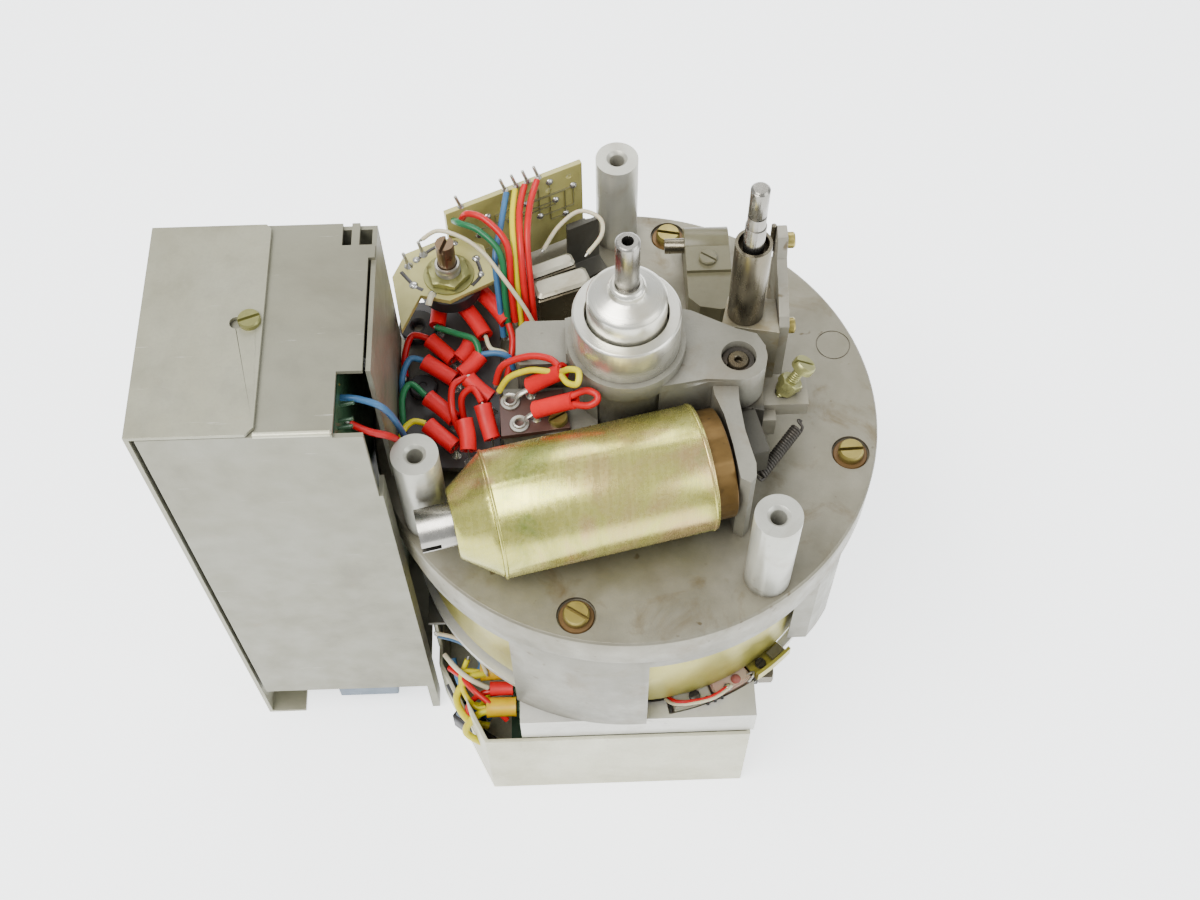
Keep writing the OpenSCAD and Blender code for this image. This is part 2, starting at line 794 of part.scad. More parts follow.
module clamp_pin() {
    color("lightsteelblue") at_stand()
        translate([13.4, clamp_barrel.x, clamp_barrel.y])
            rotate([0, 90, 0])
                cylinder(r = clamp_pin_r, h = 17);
}

module cover_screws() {
    flap_top = box_top + cover_gap + sheet_t;
    color("wheat") at_stand() {
        translate(box_screw) {
            disc(1.5, flap_top - 7, flap_top + eps);
            translate([0, 0, flap_top])
                rotate(20)
                    slotted_head(2.8, 1.5, 0.8);
        }
        translate(clamp_screw) {
            disc(1.5, 3, clamp_top + eps);
            translate([0, 0, clamp_top])
                rotate(-35)
                    slotted_head(2.6, 1.3, 0.7);
        }
    }
}

// ---------- speed pickup and lower fastener ----------

module tacho_heads() {
    color("silver") at_stand() {
        ring_sector(66.6, 61, -79.5, -69, -67.6, -59.6);
        ring_sector(66.2, 61, -68.4, -57.5, -67.6, -59.6);
    }
}

module tacho_bracket() {
    color("darkkhaki") at_stand()
        union() {
            ring_sector(68, 60.6, -57, -46, -60.7, -59.3);
            ring_sector(68, 66.6, -57, -46, -59.3 - eps, -56);
            ring_sector(67.8, 66.9, -78, -57 + eps, -60.7, -59.3);
        }
}

module housing_bolt() {
    color("darkgray") at_stand()
        translate(lower_bolt)
            rotate([0, 90, 0]) {
                pipe(4.6, 2, pan_right + 0.2, pan_right + 1.8);
                translate([0, 0, pan_right + 1.8])
                    cylinder(r = 4.3, h = 4.6, $fn = 6);
                disc(2, pan_right - 2.4, pan_right + 1.8 + eps);
            }
}

// ---------- tray ----------

module tray() {
    color("lightgray") at_stand()
        difference() {
            plate_shape(tray_outline, stand_z, tray_top);
            plate_shape(tray_inside, stand_z + sheet_t, tray_top + 1);
            slab(-62, -58, -28, 38, -97, tray_top + 1);
            plate_shape([[-47.5, -62.6], [-70, -62.6], [-70, -30], [-57, -30]], -90, tray_top + 1);
        }
}

module tray_parts() {
    board_top = stand_z + sheet_t + 5.6;
    color("darkolivegreen") at_stand() {
        slab(-38, 28, -60, 36, board_top - 1.6, board_top);
        slab(-34, -29, -60, -38, board_top + solid_gap, -76);
        for (x = [-30, 22], y = [-52, 28])
            translate([x, y])
                disc(3, stand_z + sheet_t, board_top - 1.6 - solid_gap);
        translate([-8, -40])
            disc(8, board_top + solid_gap, -80);
        translate([12, -40])
            disc(8, board_top + solid_gap, -80);
        slab(-20, 16, -16, 18, board_top + solid_gap, -82);
        for (run = tray_sleeve_runs)
            slab(-38.4, -34 - solid_gap, run[0].y - 1.4, run[0].y + 1.4, run[0].z - 0.4, run[0].z + 0.4);
    }
}

module tray_sleeves() {
    color("gold") at_stand()
        for (run = tray_sleeve_runs)
            hollow_rod(run[0], run[1], run[2], run[2] - 0.7);
}

// ---------- brackets ----------

module brackets() {
    color("dimgray") at_stand() {
        // Shelf between the electronics box and the motor
        union() {
            slab(-60.8, -48, -33.5, 5, -65.2, -64);
            slab(-60.8, -59.6, -27.6, 5, -96, -65.2 + eps);
        }
        // Angle that holds the upright board
        translate([-15, 51.4, 0])
            rotate(rear_board_angle) {
                slab(0, 10, -1.2, 0, 0, 18);
                slab(0, 10, -7, -1.2 + eps, 0, 1.2);
                slab(2, 8, 0, 4.4, 12, 13.2);
            }
    }
}

// ---------- electronics box ----------

module box_frame() {
    frame_left = box_left + 2 * sheet_t;
    top_outline = [[frame_left, box_front], [-70, box_front], [-70, -23], [-63.8, -23], [-63.8, 10.5],
        [box_right - 0.2, 10.5], [box_right - 0.2, 14.5], [-66.2, 14.5], [-66.2, box_back], [-68.2, box_back],
        [-68.2, 14.5], [-70.5, 14.5], [-70.5, box_back], [frame_left, box_back]];
    foot_back = box_front + 6.1;
    color("lightgray") at_stand()
        difference() {
            union() {
                plate_shape(top_outline, box_top - sheet_t, box_top);
                slab(frame_left, box_right - 1, box_front, box_front + sheet_t, box_bottom, box_top - sheet_t + eps);
                slab(frame_left, box_right - 1, box_back - sheet_t, box_back, box_bottom, box_top - sheet_t + eps);
                slab(frame_left, box_right - 1, box_front, box_back, box_bottom, box_bottom + sheet_t);
                slab(box_right - sheet_t, box_right, -22.4, box_back, 8, box_top - sheet_t + eps);
                slab(box_right - sheet_t, box_right, box_front, foot_back, stand_z, 30);
                slab(box_right - 2 * sheet_t, box_right, box_front, box_front + sheet_t, stand_z, 30);
            }
            translate(box_screw)
                disc(1.5, box_top - 8, box_top + 1);
            disc(flange_r + 0.4, pan_bottom - 1, 1);
        }
}

module box_cover() {
    flap_z = box_top + cover_gap;
    flap = [[box_left, box_front], [-90, box_front], [-88, -38.6], [-88.1, 19.4], [-89.4, box_back - 0.6],
        [box_left, box_back - 0.6]];
    color("lightgray") at_stand()
        difference() {
            union() {
                plate_shape(flap, flap_z, flap_z + sheet_t);
                slab(box_left, box_left + sheet_t, box_front, box_back - 0.6, stand_z, flap_z + eps);
                slab(box_left, box_left + 12, box_front, box_front + 7, stand_z, stand_z + sheet_t);
            }
            translate(box_screw)
                disc(1.5, 50, 70);
            translate([-94.4, -9])
                disc(1.7, 50, 70);
            slab(-94.4, -91.2, -10.2, -7.4, 50, 70);
        }
}

module box_board() {
    color("darkolivegreen") at_stand() {
        slab(-72, -70.4, -38, 16, -90, 55);
        slab(-76, -72, -30, -10, 10, 30);
        slab(-76, -72, -34, -4, -40, -15);
        for (y = [-31, -26.5, -33], z = [50])
            rod([-72.6, y, z], [-66.8, y, z + 1.5], 0.5);
    }
}

module box_capacitors() {
    color("slategray") at_stand() {
        translate([-97, -8])
            disc(17, box_bottom + sheet_t, -20 - solid_gap);
        translate([-104, -24])
            disc(9, solid_gap, 45);
        translate([-104, 4])
            disc(9, solid_gap, 45);
        slab(-114, -84, -34, 14, -4, 0);
        slab(-100, -96, -34, 14, -20, -4 - solid_gap);
    }
}

module box_connector() {
    color("slategray") at_stand()
        difference() {
            slab(-93.5, -74.5, -39, -22, -107, box_bottom);
            slab(-91.5, -76.5, -37, -24, -108, -102);
        }
}

// ---------- terminal boards ----------

module terminal_board() {
    outline = [[-60.4, -20], [-38, -21], [-34.4, -18], [-34.4, 30], [-38, 34], [-60.4, 34]];
    color("black") at_stand() {
        plate_shape(outline, terminal_board_z[0], terminal_board_z[1]);
        for (p = [[-40, -16], [-40, 28], [-56, -14]])
            translate(p)
                disc(3, 0, terminal_board_z[0]);
    }
}

module terminal_tags() {
    color("lightsteelblue") at_stand() {
        for (run = sleeve_runs)
            rod([run[1].x, run[1].y, terminal_board_z[1]], run[1] + [0, 0, 0.4], 0.8);
        for (run = lug_sleeve_runs)
            rod([run[1].x, run[1].y, brown_board_z[1]], run[1] + [0, 0, 0.4], 0.8);
        for (s = [5, 18.4, 21.8, 25.2, 28.6])
            translate(rear_board_start)
                rotate(rear_board_angle)
                    rod([s, 0.8, rear_board_z[1]], [s - 1.2, 1.2, rear_board_z[1] + 4.5], 0.5);
        for (p = [[-58.6, 34.6], [-54.6, 38.4]])
            rod([p.x, p.y, pot_board_z[1]], [p.x - 1, p.y + 0.6, pot_board_z[1] + 5], 0.5);
    }
}

module terminal_sleeves() {
    color("crimson") at_stand()
        for (run = concat(sleeve_runs, lug_sleeve_runs))
            hollow_rod(run[0], run[1], sleeve_r, sleeve_r - 1.1);
}

module terminal_fittings() {
    board_top = terminal_board_z[1];
    color("dimgray") at_stand() {
        translate([-57.3, 24.7])
            pipe(5.4, 1.6, board_top, 10.1);
        translate([-55.4, 4.4])
            disc(3.8, board_top, board_top + 2.4);
        for (p = [[-31, -7.2], [-28.6, -14.2]])
            translate(p)
                pipe(2.6, 1.2, brown_board_z[1], brown_board_z[1] + 1.6);
        translate(board_screw) {
            translate([0, 0, brown_board_z[1]])
                rotate(30)
                    slotted_head(2.6, 1.8, 0.7);
            disc(1.5, 7, brown_board_z[1] + eps);
        }
    }
}

module brown_board() {
    outline = [[-34, -5.4], [-17, -3.4], [-15.2, -15.6], [-33.4, -17.6]];
    color("saddlebrown") at_stand()
        difference() {
            plate_shape(outline, brown_board_z[0], brown_board_z[1]);
            translate(board_screw)
                disc(1.5, 10, 20);
        }
}

// ---------- potentiometer board and upright board ----------

module signal_boards() {
    pot_outline = [[-63, 31], [-59.7, 38.8], [-50, 43.4], [-44, 44], [-38, 41], [-34.4, 29], [-47, 22.4],
        [-55, 24.5], [-59.8, 13]];
    color("darkkhaki") at_stand() {
        difference() {
            plate_shape(pot_outline, pot_board_z[0], pot_board_z[1]);
            translate(pot)
                disc(3.5, 10, 30);
        }
        translate(rear_board_start)
            rotate(rear_board_angle)
                difference() {
                    slab(0, rear_board_l, 0, 1.6, rear_board_z[0], rear_board_z[1]);
                    for (p = [[37.4, 29.4], [31, 26.6]])
                        translate([p[0], 3, p[1]])
                            rotate([90, 0, 0])
                                cylinder(r = 0.9, h = 5);
                }
    }
}

module pot_body() {
    color("dimgray") at_stand()
        translate(pot)
            difference() {
                union() {
                    disc(8.5, pot_bottom, pot_board_z[0]);
                    disc(3.5, pot_board_z[0] - eps, 30);
                }
                disc(2.5 + running, pot_bottom + 1, 31);
            }
}

module pot_nut() {
    color("palegoldenrod") at_stand()
        translate(pot) {
            pipe(7, 3.5, pot_board_z[1], pot_board_z[1] + 0.7);
            difference() {
                translate([0, 0, pot_board_z[1] + 0.7])
                    cylinder(r = 6.2, h = 2.6, $fn = 6);
                disc(3.5, 20, 32);
            }
        }
}

module pot_spindle() {
    spindle_top = 38.4;
    color("lightsteelblue") at_stand()
        translate(pot)
            difference() {
                disc(2.5, pot_bottom + 1.2, spindle_top);
                rotate(70)
                    slab(-4, 4, -0.5, 0.5, spindle_top - 2, spindle_top + 1);
            }
}

module component_blocks() {
    color("gainsboro") at_stand() {
        translate([-19.6, 36.9, 0])
            rotate(22)
                slab(-7, 7, -2.2, 2.4, 1.6, 20);
        translate([-16.6, 31, 0])
            rotate(19)
                slab(-8, 8, -3.2, 3.2, 1.6, 20);
        translate([-18.2, 33.6, 0])
            rotate(20)
                slab(-8.4, 8.4, -6.4, 6.6, 0, 1.6);
    }
}

// ---------- wiring ----------

module wires_red() { color("red") at_stand() wires(red_routes); }
module wires_green() { color("seagreen") at_stand() wires(green_routes); }
module wires_blue() { color("steelblue") at_stand() wires(blue_routes); }
module wires_yellow() { color("yellow") at_stand() wires(yellow_routes); }
module wires_cream() { color("beige") at_stand() wires(cream_routes); }

flange_plate();
motor_frame();
mounting_posts();
plate_screws();
plate_washers();
bearing_housing();
bearing_ring();
bearing_bushes();
capstan_shaft();
dust_cap();
rotor_bell();
rotor_magnets();
stator_core();
stator_windings();
lower_housing();
solenoid_can();
solenoid_nose();
solenoid_end_disc();
solenoid_winding();
solenoid_plunger();
pivot_shaft();
pinch_lever();
roller_post_tube();
roller_pin();
lever_side_plate();
side_plate_screws();
adjuster_bracket();
adjusting_screw();
adjusting_nut();
return_spring();
clamp_block();
cover_screws();
clamp_pin();
tacho_heads();
tacho_bracket();
housing_bolt();
tray();
tray_parts();
tray_sleeves();
brackets();
box_frame();
box_cover();
box_board();
box_capacitors();
box_connector();
terminal_board();
terminal_tags();
terminal_sleeves();
terminal_fittings();
brown_board();
signal_boards();
pot_body();
pot_nut();
pot_spindle();
component_blocks();
wires_red();
wires_green();
wires_blue();
wires_yellow();
wires_cream();
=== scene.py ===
import math
import random

import bpy
from mathutils import Matrix, Vector


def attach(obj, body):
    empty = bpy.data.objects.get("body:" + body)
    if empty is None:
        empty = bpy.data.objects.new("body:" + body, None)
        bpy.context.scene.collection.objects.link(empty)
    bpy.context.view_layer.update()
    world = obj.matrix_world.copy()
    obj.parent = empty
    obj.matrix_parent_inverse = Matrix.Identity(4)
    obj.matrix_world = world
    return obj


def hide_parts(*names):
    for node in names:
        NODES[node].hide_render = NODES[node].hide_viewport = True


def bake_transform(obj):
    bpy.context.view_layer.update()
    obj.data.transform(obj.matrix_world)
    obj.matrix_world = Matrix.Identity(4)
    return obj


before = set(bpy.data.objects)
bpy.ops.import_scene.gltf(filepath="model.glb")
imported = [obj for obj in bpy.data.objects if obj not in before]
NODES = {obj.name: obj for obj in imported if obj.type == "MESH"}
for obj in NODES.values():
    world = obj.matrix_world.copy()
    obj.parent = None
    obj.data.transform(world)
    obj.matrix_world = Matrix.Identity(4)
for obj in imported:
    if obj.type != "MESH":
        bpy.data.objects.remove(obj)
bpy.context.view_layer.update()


rng = random.Random(7)

# Lengths below are millimetres in the flange frame: the capstan axis at the top of the flange plate.
SHIFT = Vector((24.0, 0.0, 115.0))
SOLENOID_TURN = math.radians(12.5)


def metres(p):
    return (Vector(p) + SHIFT) / 1000


# ---------------------------------------------------------------- camera and light

SENSOR = 36.0
FOCAL_PIXELS = 1529.2
IMAGE_WIDTH = 1200
PITCH, YAW, ROLL = math.radians(59.76), math.radians(1.2), math.radians(-0.81)
EYE = (0.0121, -0.2234, 0.4779)


def look_from_photo():
    cam = bpy.data.cameras.new("camera")
    cam.sensor_width = SENSOR
    cam.lens = FOCAL_PIXELS / IMAGE_WIDTH * SENSOR
    obj = bpy.data.objects.new("camera", cam)
    bpy.context.scene.collection.objects.link(obj)
    fwd = Vector((math.sin(YAW) * math.cos(PITCH), math.cos(YAW) * math.cos(PITCH), -math.sin(PITCH)))
    right = Vector((math.cos(YAW), -math.sin(YAW), 0))
    up = right.cross(fwd)
    x = math.cos(ROLL) * right + math.sin(ROLL) * up
    y = -math.sin(ROLL) * right + math.cos(ROLL) * up
    rot = Matrix((x, y, -fwd)).transposed().to_4x4()
    obj.matrix_world = Matrix.Translation(EYE) @ rot
    bpy.context.scene.camera = obj


def area_light(name, place, target, size, power, color=(1, 1, 1)):
    data = bpy.data.lights.new(name, "AREA")
    data.shape = "RECTANGLE"
    data.size, data.size_y = size
    data.energy = power
    data.color = color
    obj = bpy.data.objects.new(name, data)
    bpy.context.scene.collection.objects.link(obj)
    obj.location = place
    obj.rotation_euler = (Vector(target) - Vector(place)).to_track_quat("-Z", "Y").to_euler()


def studio():
    world = bpy.data.worlds.new("studio")
    bpy.context.scene.world = world
    world.use_nodes = True
    back = world.node_tree.nodes["Background"]
    back.inputs[0].default_value = (0.93, 0.96, 1.0, 1)
    back.inputs[1].default_value = 0.9
    area_light("key", (-0.35, -0.25, 0.95), (0, 0, 0.1), (0.7, 0.5), 15.5, (1.0, 0.985, 0.96))
    area_light("fill", (0.8, -0.35, 0.6), (0.02, 0, 0.1), (0.6, 0.6), 4.8, (0.95, 0.98, 1.0))
    area_light("back", (0.1, 0.8, 0.75), (0, 0, 0.1), (0.8, 0.4), 5.6)


# ---------------------------------------------------------------- materials

MATERIALS = {}


class Builder:
    """Short calls for the nodes of one material."""

    def __init__(self, name):
        self.name = name
        self.mat = bpy.data.materials.new(name)
        self.mat.use_nodes = True
        self.tree = self.mat.node_tree
        self.shader = self.tree.nodes["Principled BSDF"]
        self.coord = self.add("ShaderNodeTexCoord").outputs["Object"]
        self.color = None
        self.rough = None
        self.height = None

    def link(self, a, b):
        self.tree.links.new(a, b)

    def add(self, kind, **sockets):
        node = self.tree.nodes.new(kind)
        for key, value in sockets.items():
            self.put(node.inputs[key.replace("_", " ")], value)
        return node

    def put(self, socket, value):
        if isinstance(value, bpy.types.NodeSocket):
            self.link(value, socket)
        else:
            socket.default_value = value

    def mapped(self, scale=(1, 1, 1), move=(0, 0, 0), turn=(0, 0, 0)):
        node = self.add("ShaderNodeMapping", Vector=self.coord)
        node.inputs["Scale"].default_value = scale
        node.inputs["Location"].default_value = move
        node.inputs["Rotation"].default_value = turn
        return node.outputs[0]

    def noise(self, scale, detail=3.0, rough=0.55, vector=None, distort=0.0):
        node = self.add("ShaderNodeTexNoise", Scale=scale, Detail=detail, Roughness=rough, Distortion=distort)
        self.link(vector or self.coord, node.inputs["Vector"])
        return node.outputs["Fac"]

    def math(self, op, a, b=0.0):
        node = self.tree.nodes.new("ShaderNodeMath")
        node.operation = op
        self.put(node.inputs[0], a)
        self.put(node.inputs[1], b)
        return node.outputs[0]

    def sum(self, a, part_a, b, part_b):
        return self.math("ADD", self.math("MULTIPLY", a, part_a), self.math("MULTIPLY", b, part_b))

    def span(self, value, low, high, to_low=0.0, to_high=1.0):
        node = self.add("ShaderNodeMapRange")
        for socket, v in zip(node.inputs, (value, low, high, to_low, to_high)):
            self.put(socket, v)
        return node.outputs[0]

    def mix(self, factor, a, b, mode="MIX"):
        node = self.tree.nodes.new("ShaderNodeMix")
        node.data_type = "RGBA"
        node.blend_type = mode
        self.put(node.inputs[0], factor)
        self.put(node.inputs[6], a)
        self.put(node.inputs[7], b)
        return node.outputs[2]

    def two(self, value, low, high, color, other):
        return self.mix(self.span(value, low, high), rgba(color), rgba(other))

    def tint(self, base, value, low, high, amount, color):
        """Lays a colour over base where value rises from low to high."""
        return self.mix(self.span(value, low, high, 0.0, amount), base, rgba(color))

    # Painted shade: darkens the colour where ambient occlusion finds recesses and gaps between parts.
    def shade_crevices(self, base, amount, color):
        shade = self.add("ShaderNodeAmbientOcclusion", Distance=0.004)
        shade.samples = 4
        return self.mix(self.span(shade.outputs["AO"], 0.2, 0.85, amount, 0.0), base, rgba(color))

    def ramp(self, value, stops):
        node = self.tree.nodes.new("ShaderNodeValToRGB")
        node.color_ramp.elements[0].position = stops[0][0]
        node.color_ramp.elements[0].color = (*stops[0][1], 1)
        node.color_ramp.elements[1].position = stops[-1][0]
        node.color_ramp.elements[1].color = (*stops[-1][1], 1)
        for place, color in stops[1:-1]:
            node.color_ramp.elements.new(place).color = (*color, 1)
        self.link(value, node.inputs[0])
        return node.outputs[0]

    def done(self, metallic=0.0, bump=0.15, distance=0.0002, **constants):
        self.link(self.color, self.shader.inputs["Base Color"])
        if self.rough is not None:
            self.link(self.rough, self.shader.inputs["Roughness"])
        if self.height is not None:
            node = self.add("ShaderNodeBump", Height=self.height, Strength=bump, Distance=distance)
            self.link(node.outputs[0], self.shader.inputs["Normal"])
        self.shader.inputs["Metallic"].default_value = metallic
        for key, value in constants.items():
            self.shader.inputs[key.replace("_", " ")].default_value = value
        MATERIALS[self.name] = self.mat
        return self.mat


def rgb(r, g, b):
    """Linear colour from an 8-bit display colour."""
    return tuple(((c / 255 + 0.055) / 1.055) ** 2.4 if c > 10 else c / 255 / 12.92 for c in (r, g, b))


def rgba(c):
    return (*c, 1.0)


def scaled(color, k):
    return tuple(c * k for c in color)


def metal(name, color, other, metallic=0.7, rough=(0.35, 0.5), stain=None, stain_amount=0.35,
          grain=900.0, bump=0.12, streak=None, crevice_shade=None):
    """Cloudy metal with fine grain, brown stains, streaks, and painted shade that darkens its recesses."""
    b = Builder(name)
    cloud = b.noise(28, 5, 0.6)
    fine = b.noise(grain, 4, 0.6)
    base = b.two(cloud, 0.35, 0.68, rgb(*color), rgb(*other))
    base = b.tint(base, fine, 0.3, 0.7, 0.16, scaled(rgb(*color), 0.6))
    if stain:
        base = b.tint(base, b.noise(70, 6, 0.62, distort=0.6), 0.54, 0.72, stain_amount, rgb(*stain))
        base = b.tint(base, b.noise(260, 2, 0.4), 0.71, 0.76, stain_amount, scaled(rgb(*stain), 0.7))
    # Painted shade in the recesses, found by ambient occlusion.
    if crevice_shade:
        base = b.shade_crevices(base, 0.7, rgb(*crevice_shade))
    b.color = base
    wear = b.noise(140, 4, 0.6)
    height = fine
    if streak:
        lines = b.noise(60, 4, 0.65, vector=b.mapped(scale=streak))
        height = b.math("ADD", b.math("MULTIPLY", fine, 0.4), lines)
        wear = b.sum(wear, 0.5, lines, 0.5)
    b.rough = b.span(wear, 0.35, 0.65, *rough)
    b.height = height
    b.done(metallic, bump)


def turned(name, color, tint, metallic=0.85, rough=(0.22, 0.4), rings=5200.0):
    """Turned on a lathe about the capstan axis: fine rings with soft stains."""
    b = Builder(name)
    flat = b.mapped(move=(-SHIFT.x / 1000, -SHIFT.y / 1000, 0))
    parts = b.add("ShaderNodeSeparateXYZ", Vector=flat)
    squares = [b.math("MULTIPLY", parts.outputs[i], parts.outputs[i]) for i in (0, 1)]
    radius = b.math("SQRT", b.math("ADD", *squares))
    line = b.add("ShaderNodeCombineXYZ")
    b.link(b.math("MULTIPLY", b.math("ADD", radius, parts.outputs[2]), rings), line.inputs[0])
    lathe_marks = b.noise(1.0, 2, 0.5, vector=line.outputs[0])
    cloud = b.noise(60, 4, 0.6)
    base = b.tint(rgba(rgb(*color)), lathe_marks, 0.3, 0.7, 0.25, scaled(rgb(*color), 0.72))
    b.color = b.tint(base, cloud, 0.48, 0.7, 0.55, rgb(*tint))
    b.rough = b.span(b.sum(lathe_marks, 0.6, cloud, 0.4), 0.3, 0.7, *rough)
    b.height = lathe_marks
    b.done(metallic, 0.10, 0.00008)


def plastic(name, color, other, rough=(0.28, 0.42), grain=700.0, bump=0.08, soft=0.0, coat=0.0):
    b = Builder(name)
    cloud = b.noise(60, 4, 0.6)
    fine = b.noise(grain, 3, 0.55)
    base = b.two(cloud, 0.35, 0.7, rgb(*color), rgb(*other))
    b.color = b.tint(base, fine, 0.55, 0.75, 0.25, scaled(rgb(*color), 0.55))
    b.rough = b.span(b.noise(180, 3, 0.6), 0.35, 0.65, *rough)
    b.height = b.math("ADD", fine, b.math("MULTIPLY", cloud, 2.0))
    extra = {"Specular_IOR_Level": 0.3}
    if soft:
        extra |= {"Subsurface_Weight": soft, "Subsurface_Scale": 0.0012}
    if coat:
        extra["Coat_Weight"] = coat
        extra["Coat_Roughness"] = 0.25
    b.done(0.0, bump, 0.00015, **extra)


def chromate(name):
    """Yellow chromate on a steel tube lying along the solenoid axis: streaks with pink and green bloom."""
    b = Builder(name)
    across = b.mapped(turn=(0, 0, -SOLENOID_TURN))
    slow = b.noise(34, 4, 0.6, vector=across, distort=0.8)
    bloom = b.ramp(slow, [(0.28, rgb(122, 138, 62)), (0.42, rgb(164, 162, 78)), (0.52, rgb(190, 184, 96)),
                          (0.62, rgb(192, 164, 108)), (0.76, rgb(150, 168, 92))])
    fine = b.noise(1100, 4, 0.6)
    specks = b.noise(420, 3, 0.7)
    base = b.tint(bloom, specks, 0.66, 0.76, 0.3, rgb(108, 98, 60))
    b.color = b.tint(base, fine, 0.35, 0.65, 0.15, rgb(210, 206, 160))
    streaks = b.noise(160, 4, 0.6, vector=b.mapped(scale=(6.0, 0.35, 0.35), turn=(0, 0, -SOLENOID_TURN)))
    b.rough = b.span(b.sum(fine, 0.4, streaks, 0.6), 0.35, 0.65, 0.2, 0.34)
    b.height = b.math("ADD", fine, streaks)
    b.done(0.82, 0.1, 0.0001)


def sheet(name, shade):
    """Tin-plated sheet: warm grey with cloudy patches, fine scratches and brown spots; shade scales its colours, which
    darkens the box frame's copy as painted shade.
    """
    b = Builder(name)
    cloud = b.noise(22, 6, 0.62, distort=0.5)
    base = b.ramp(cloud, [(place, tuple(c * shade * shade for c in rgb(*color))) for place, color in
                          ((0.3, (158, 154, 130)), (0.5, (180, 178, 154)), (0.72, (190, 189, 168)))])
    rust = b.noise(90, 7, 0.7, distort=0.4)
    parts = b.add("ShaderNodeSeparateXYZ", Vector=b.coord)
    low = b.span(parts.outputs[2], 0.02, 0.17, 1.0, 0.35)
    base = b.mix(b.math("MULTIPLY", b.span(rust, 0.62, 0.78, 0.0, 0.6), low), base, rgba(rgb(126, 108, 84)))
    scratch = b.noise(90, 5, 0.7, vector=b.mapped(scale=(0.6, 9.0, 9.0), turn=(0.2, 0.5, 0.3)))
    base = b.tint(base, scratch, 0.66, 0.72, 0.35, rgb(214, 212, 204))
    fine = b.noise(1200, 3, 0.6)
    b.color = b.tint(base, fine, 0.4, 0.7, 0.14, rgb(120, 116, 104))
    b.rough = b.span(b.noise(120, 4, 0.6), 0.35, 0.65, 0.36, 0.52)
    b.height = b.math("ADD", fine, b.math("MULTIPLY", scratch, 0.8))
    b.done(0.45, 0.12, 0.00015)


def lever_steel(name):
    """Plated lever: light and stained brown at the roller post, with painted shade that darkens it towards the tail and
    in its recesses.
    """
    b = Builder(name)
    cloud = b.noise(60, 5, 0.6)
    light = b.two(cloud, 0.35, 0.68, rgb(146, 141, 124), rgb(122, 116, 94))
    patch = b.noise(110, 6, 0.65, distort=0.6)
    light = b.tint(light, patch, 0.48, 0.66, 0.75, rgb(118, 100, 56))
    parts = b.add("ShaderNodeSeparateXYZ", Vector=b.coord)
    # Painted shade: the lever's colour darkens towards its tail (-Y).
    tail = b.span(parts.outputs[1], -0.006, -0.011, 0.0, 1.0)
    base = b.mix(tail, light, rgba(rgb(70, 68, 60)))
    # Painted shade in the recesses, found by ambient occlusion.
    b.color = b.shade_crevices(base, 0.8, rgb(46, 40, 30))
    b.rough = b.span(b.noise(140, 4, 0.6), 0.35, 0.65, 0.36, 0.52)
    b.height = b.noise(1100, 4, 0.6)
    b.done(0.45, 0.14)


def board(name, color, other, weave=5200.0, rough=(0.3, 0.45)):
    """Woven laminate under a thin coat."""
    b = Builder(name)
    cloud = b.noise(60, 5, 0.6)
    base = b.two(cloud, 0.35, 0.68, rgb(*color), rgb(*other))
    threads = b.tree.nodes.new("ShaderNodeTexWave")
    threads.inputs["Scale"].default_value = weave / 6.0
    threads.inputs["Distortion"].default_value = 1.5
    b.link(b.coord, threads.inputs["Vector"])
    b.color = b.tint(base, threads.outputs["Fac"], 0.2, 0.9, 0.14, scaled(rgb(*color), 0.55))
    b.rough = b.span(b.noise(160, 3, 0.6), 0.35, 0.65, *rough)
    b.height = threads.outputs["Fac"]
    b.done(0.0, 0.05, 0.0001, Coat_Weight=0.25, Coat_Roughness=0.3)


metal("cast_alloy", (138, 136, 124), (112, 109, 97), 0.4, (0.36, 0.54), stain=(112, 100, 78), stain_amount=0.55,
      grain=1400, bump=0.28, crevice_shade=(58, 50, 38))
metal("plate_alloy", (140, 136, 120), (104, 99, 80), 0.45, (0.3, 0.48), stain=(98, 84, 56), stain_amount=0.8,
      grain=2200, bump=0.12, crevice_shade=(58, 50, 38))
metal("post_alloy", (190, 190, 180), (166, 165, 152), 0.5, (0.3, 0.42), stain=(140, 128, 104), stain_amount=0.4,
      grain=1800, bump=0.1, crevice_shade=(84, 76, 60))
metal("block_alloy", (176, 172, 154), (154, 149, 128), 0.6, (0.28, 0.42), stain=(120, 104, 76), stain_amount=0.5,
      streak=(1.0, 6.0, 6.0))
turned("turned_alloy", (218, 216, 204), tint=(176, 164, 132))
metal("bright_alloy", (206, 205, 198), (186, 185, 176), 0.5, (0.32, 0.46), stain=(140, 130, 112),
      stain_amount=0.35, streak=(0.3, 0.3, 12.0))
chromate("gold_chromate")
metal("rotor_chromate", (176, 168, 84), (154, 146, 64), 0.6, (0.3, 0.42), stain=(136, 124, 64), stain_amount=0.3,
      grain=1800, bump=0.06, crevice_shade=(70, 62, 34))
metal("bracket_steel", (98, 96, 88), (74, 72, 66), 0.6, (0.34, 0.5), stain=(70, 58, 44), stain_amount=0.5)
lever_steel("lever_steel")
metal("bright_steel", (168, 165, 158), (124, 121, 112), 0.95, (0.2, 0.32), stain=(120, 110, 92),
      stain_amount=0.2, grain=2400, bump=0.03, streak=(14.0, 14.0, 0.5), crevice_shade=(46, 42, 34))
metal("dark_steel", (72, 68, 62), (52, 49, 45), 0.6, (0.35, 0.5), stain=(96, 78, 56), stain_amount=0.4)
metal("grey_steel", (150, 146, 132), (126, 121, 104), 0.45, (0.36, 0.52), stain=(112, 94, 58), stain_amount=0.75,
      crevice_shade=(52, 46, 34))
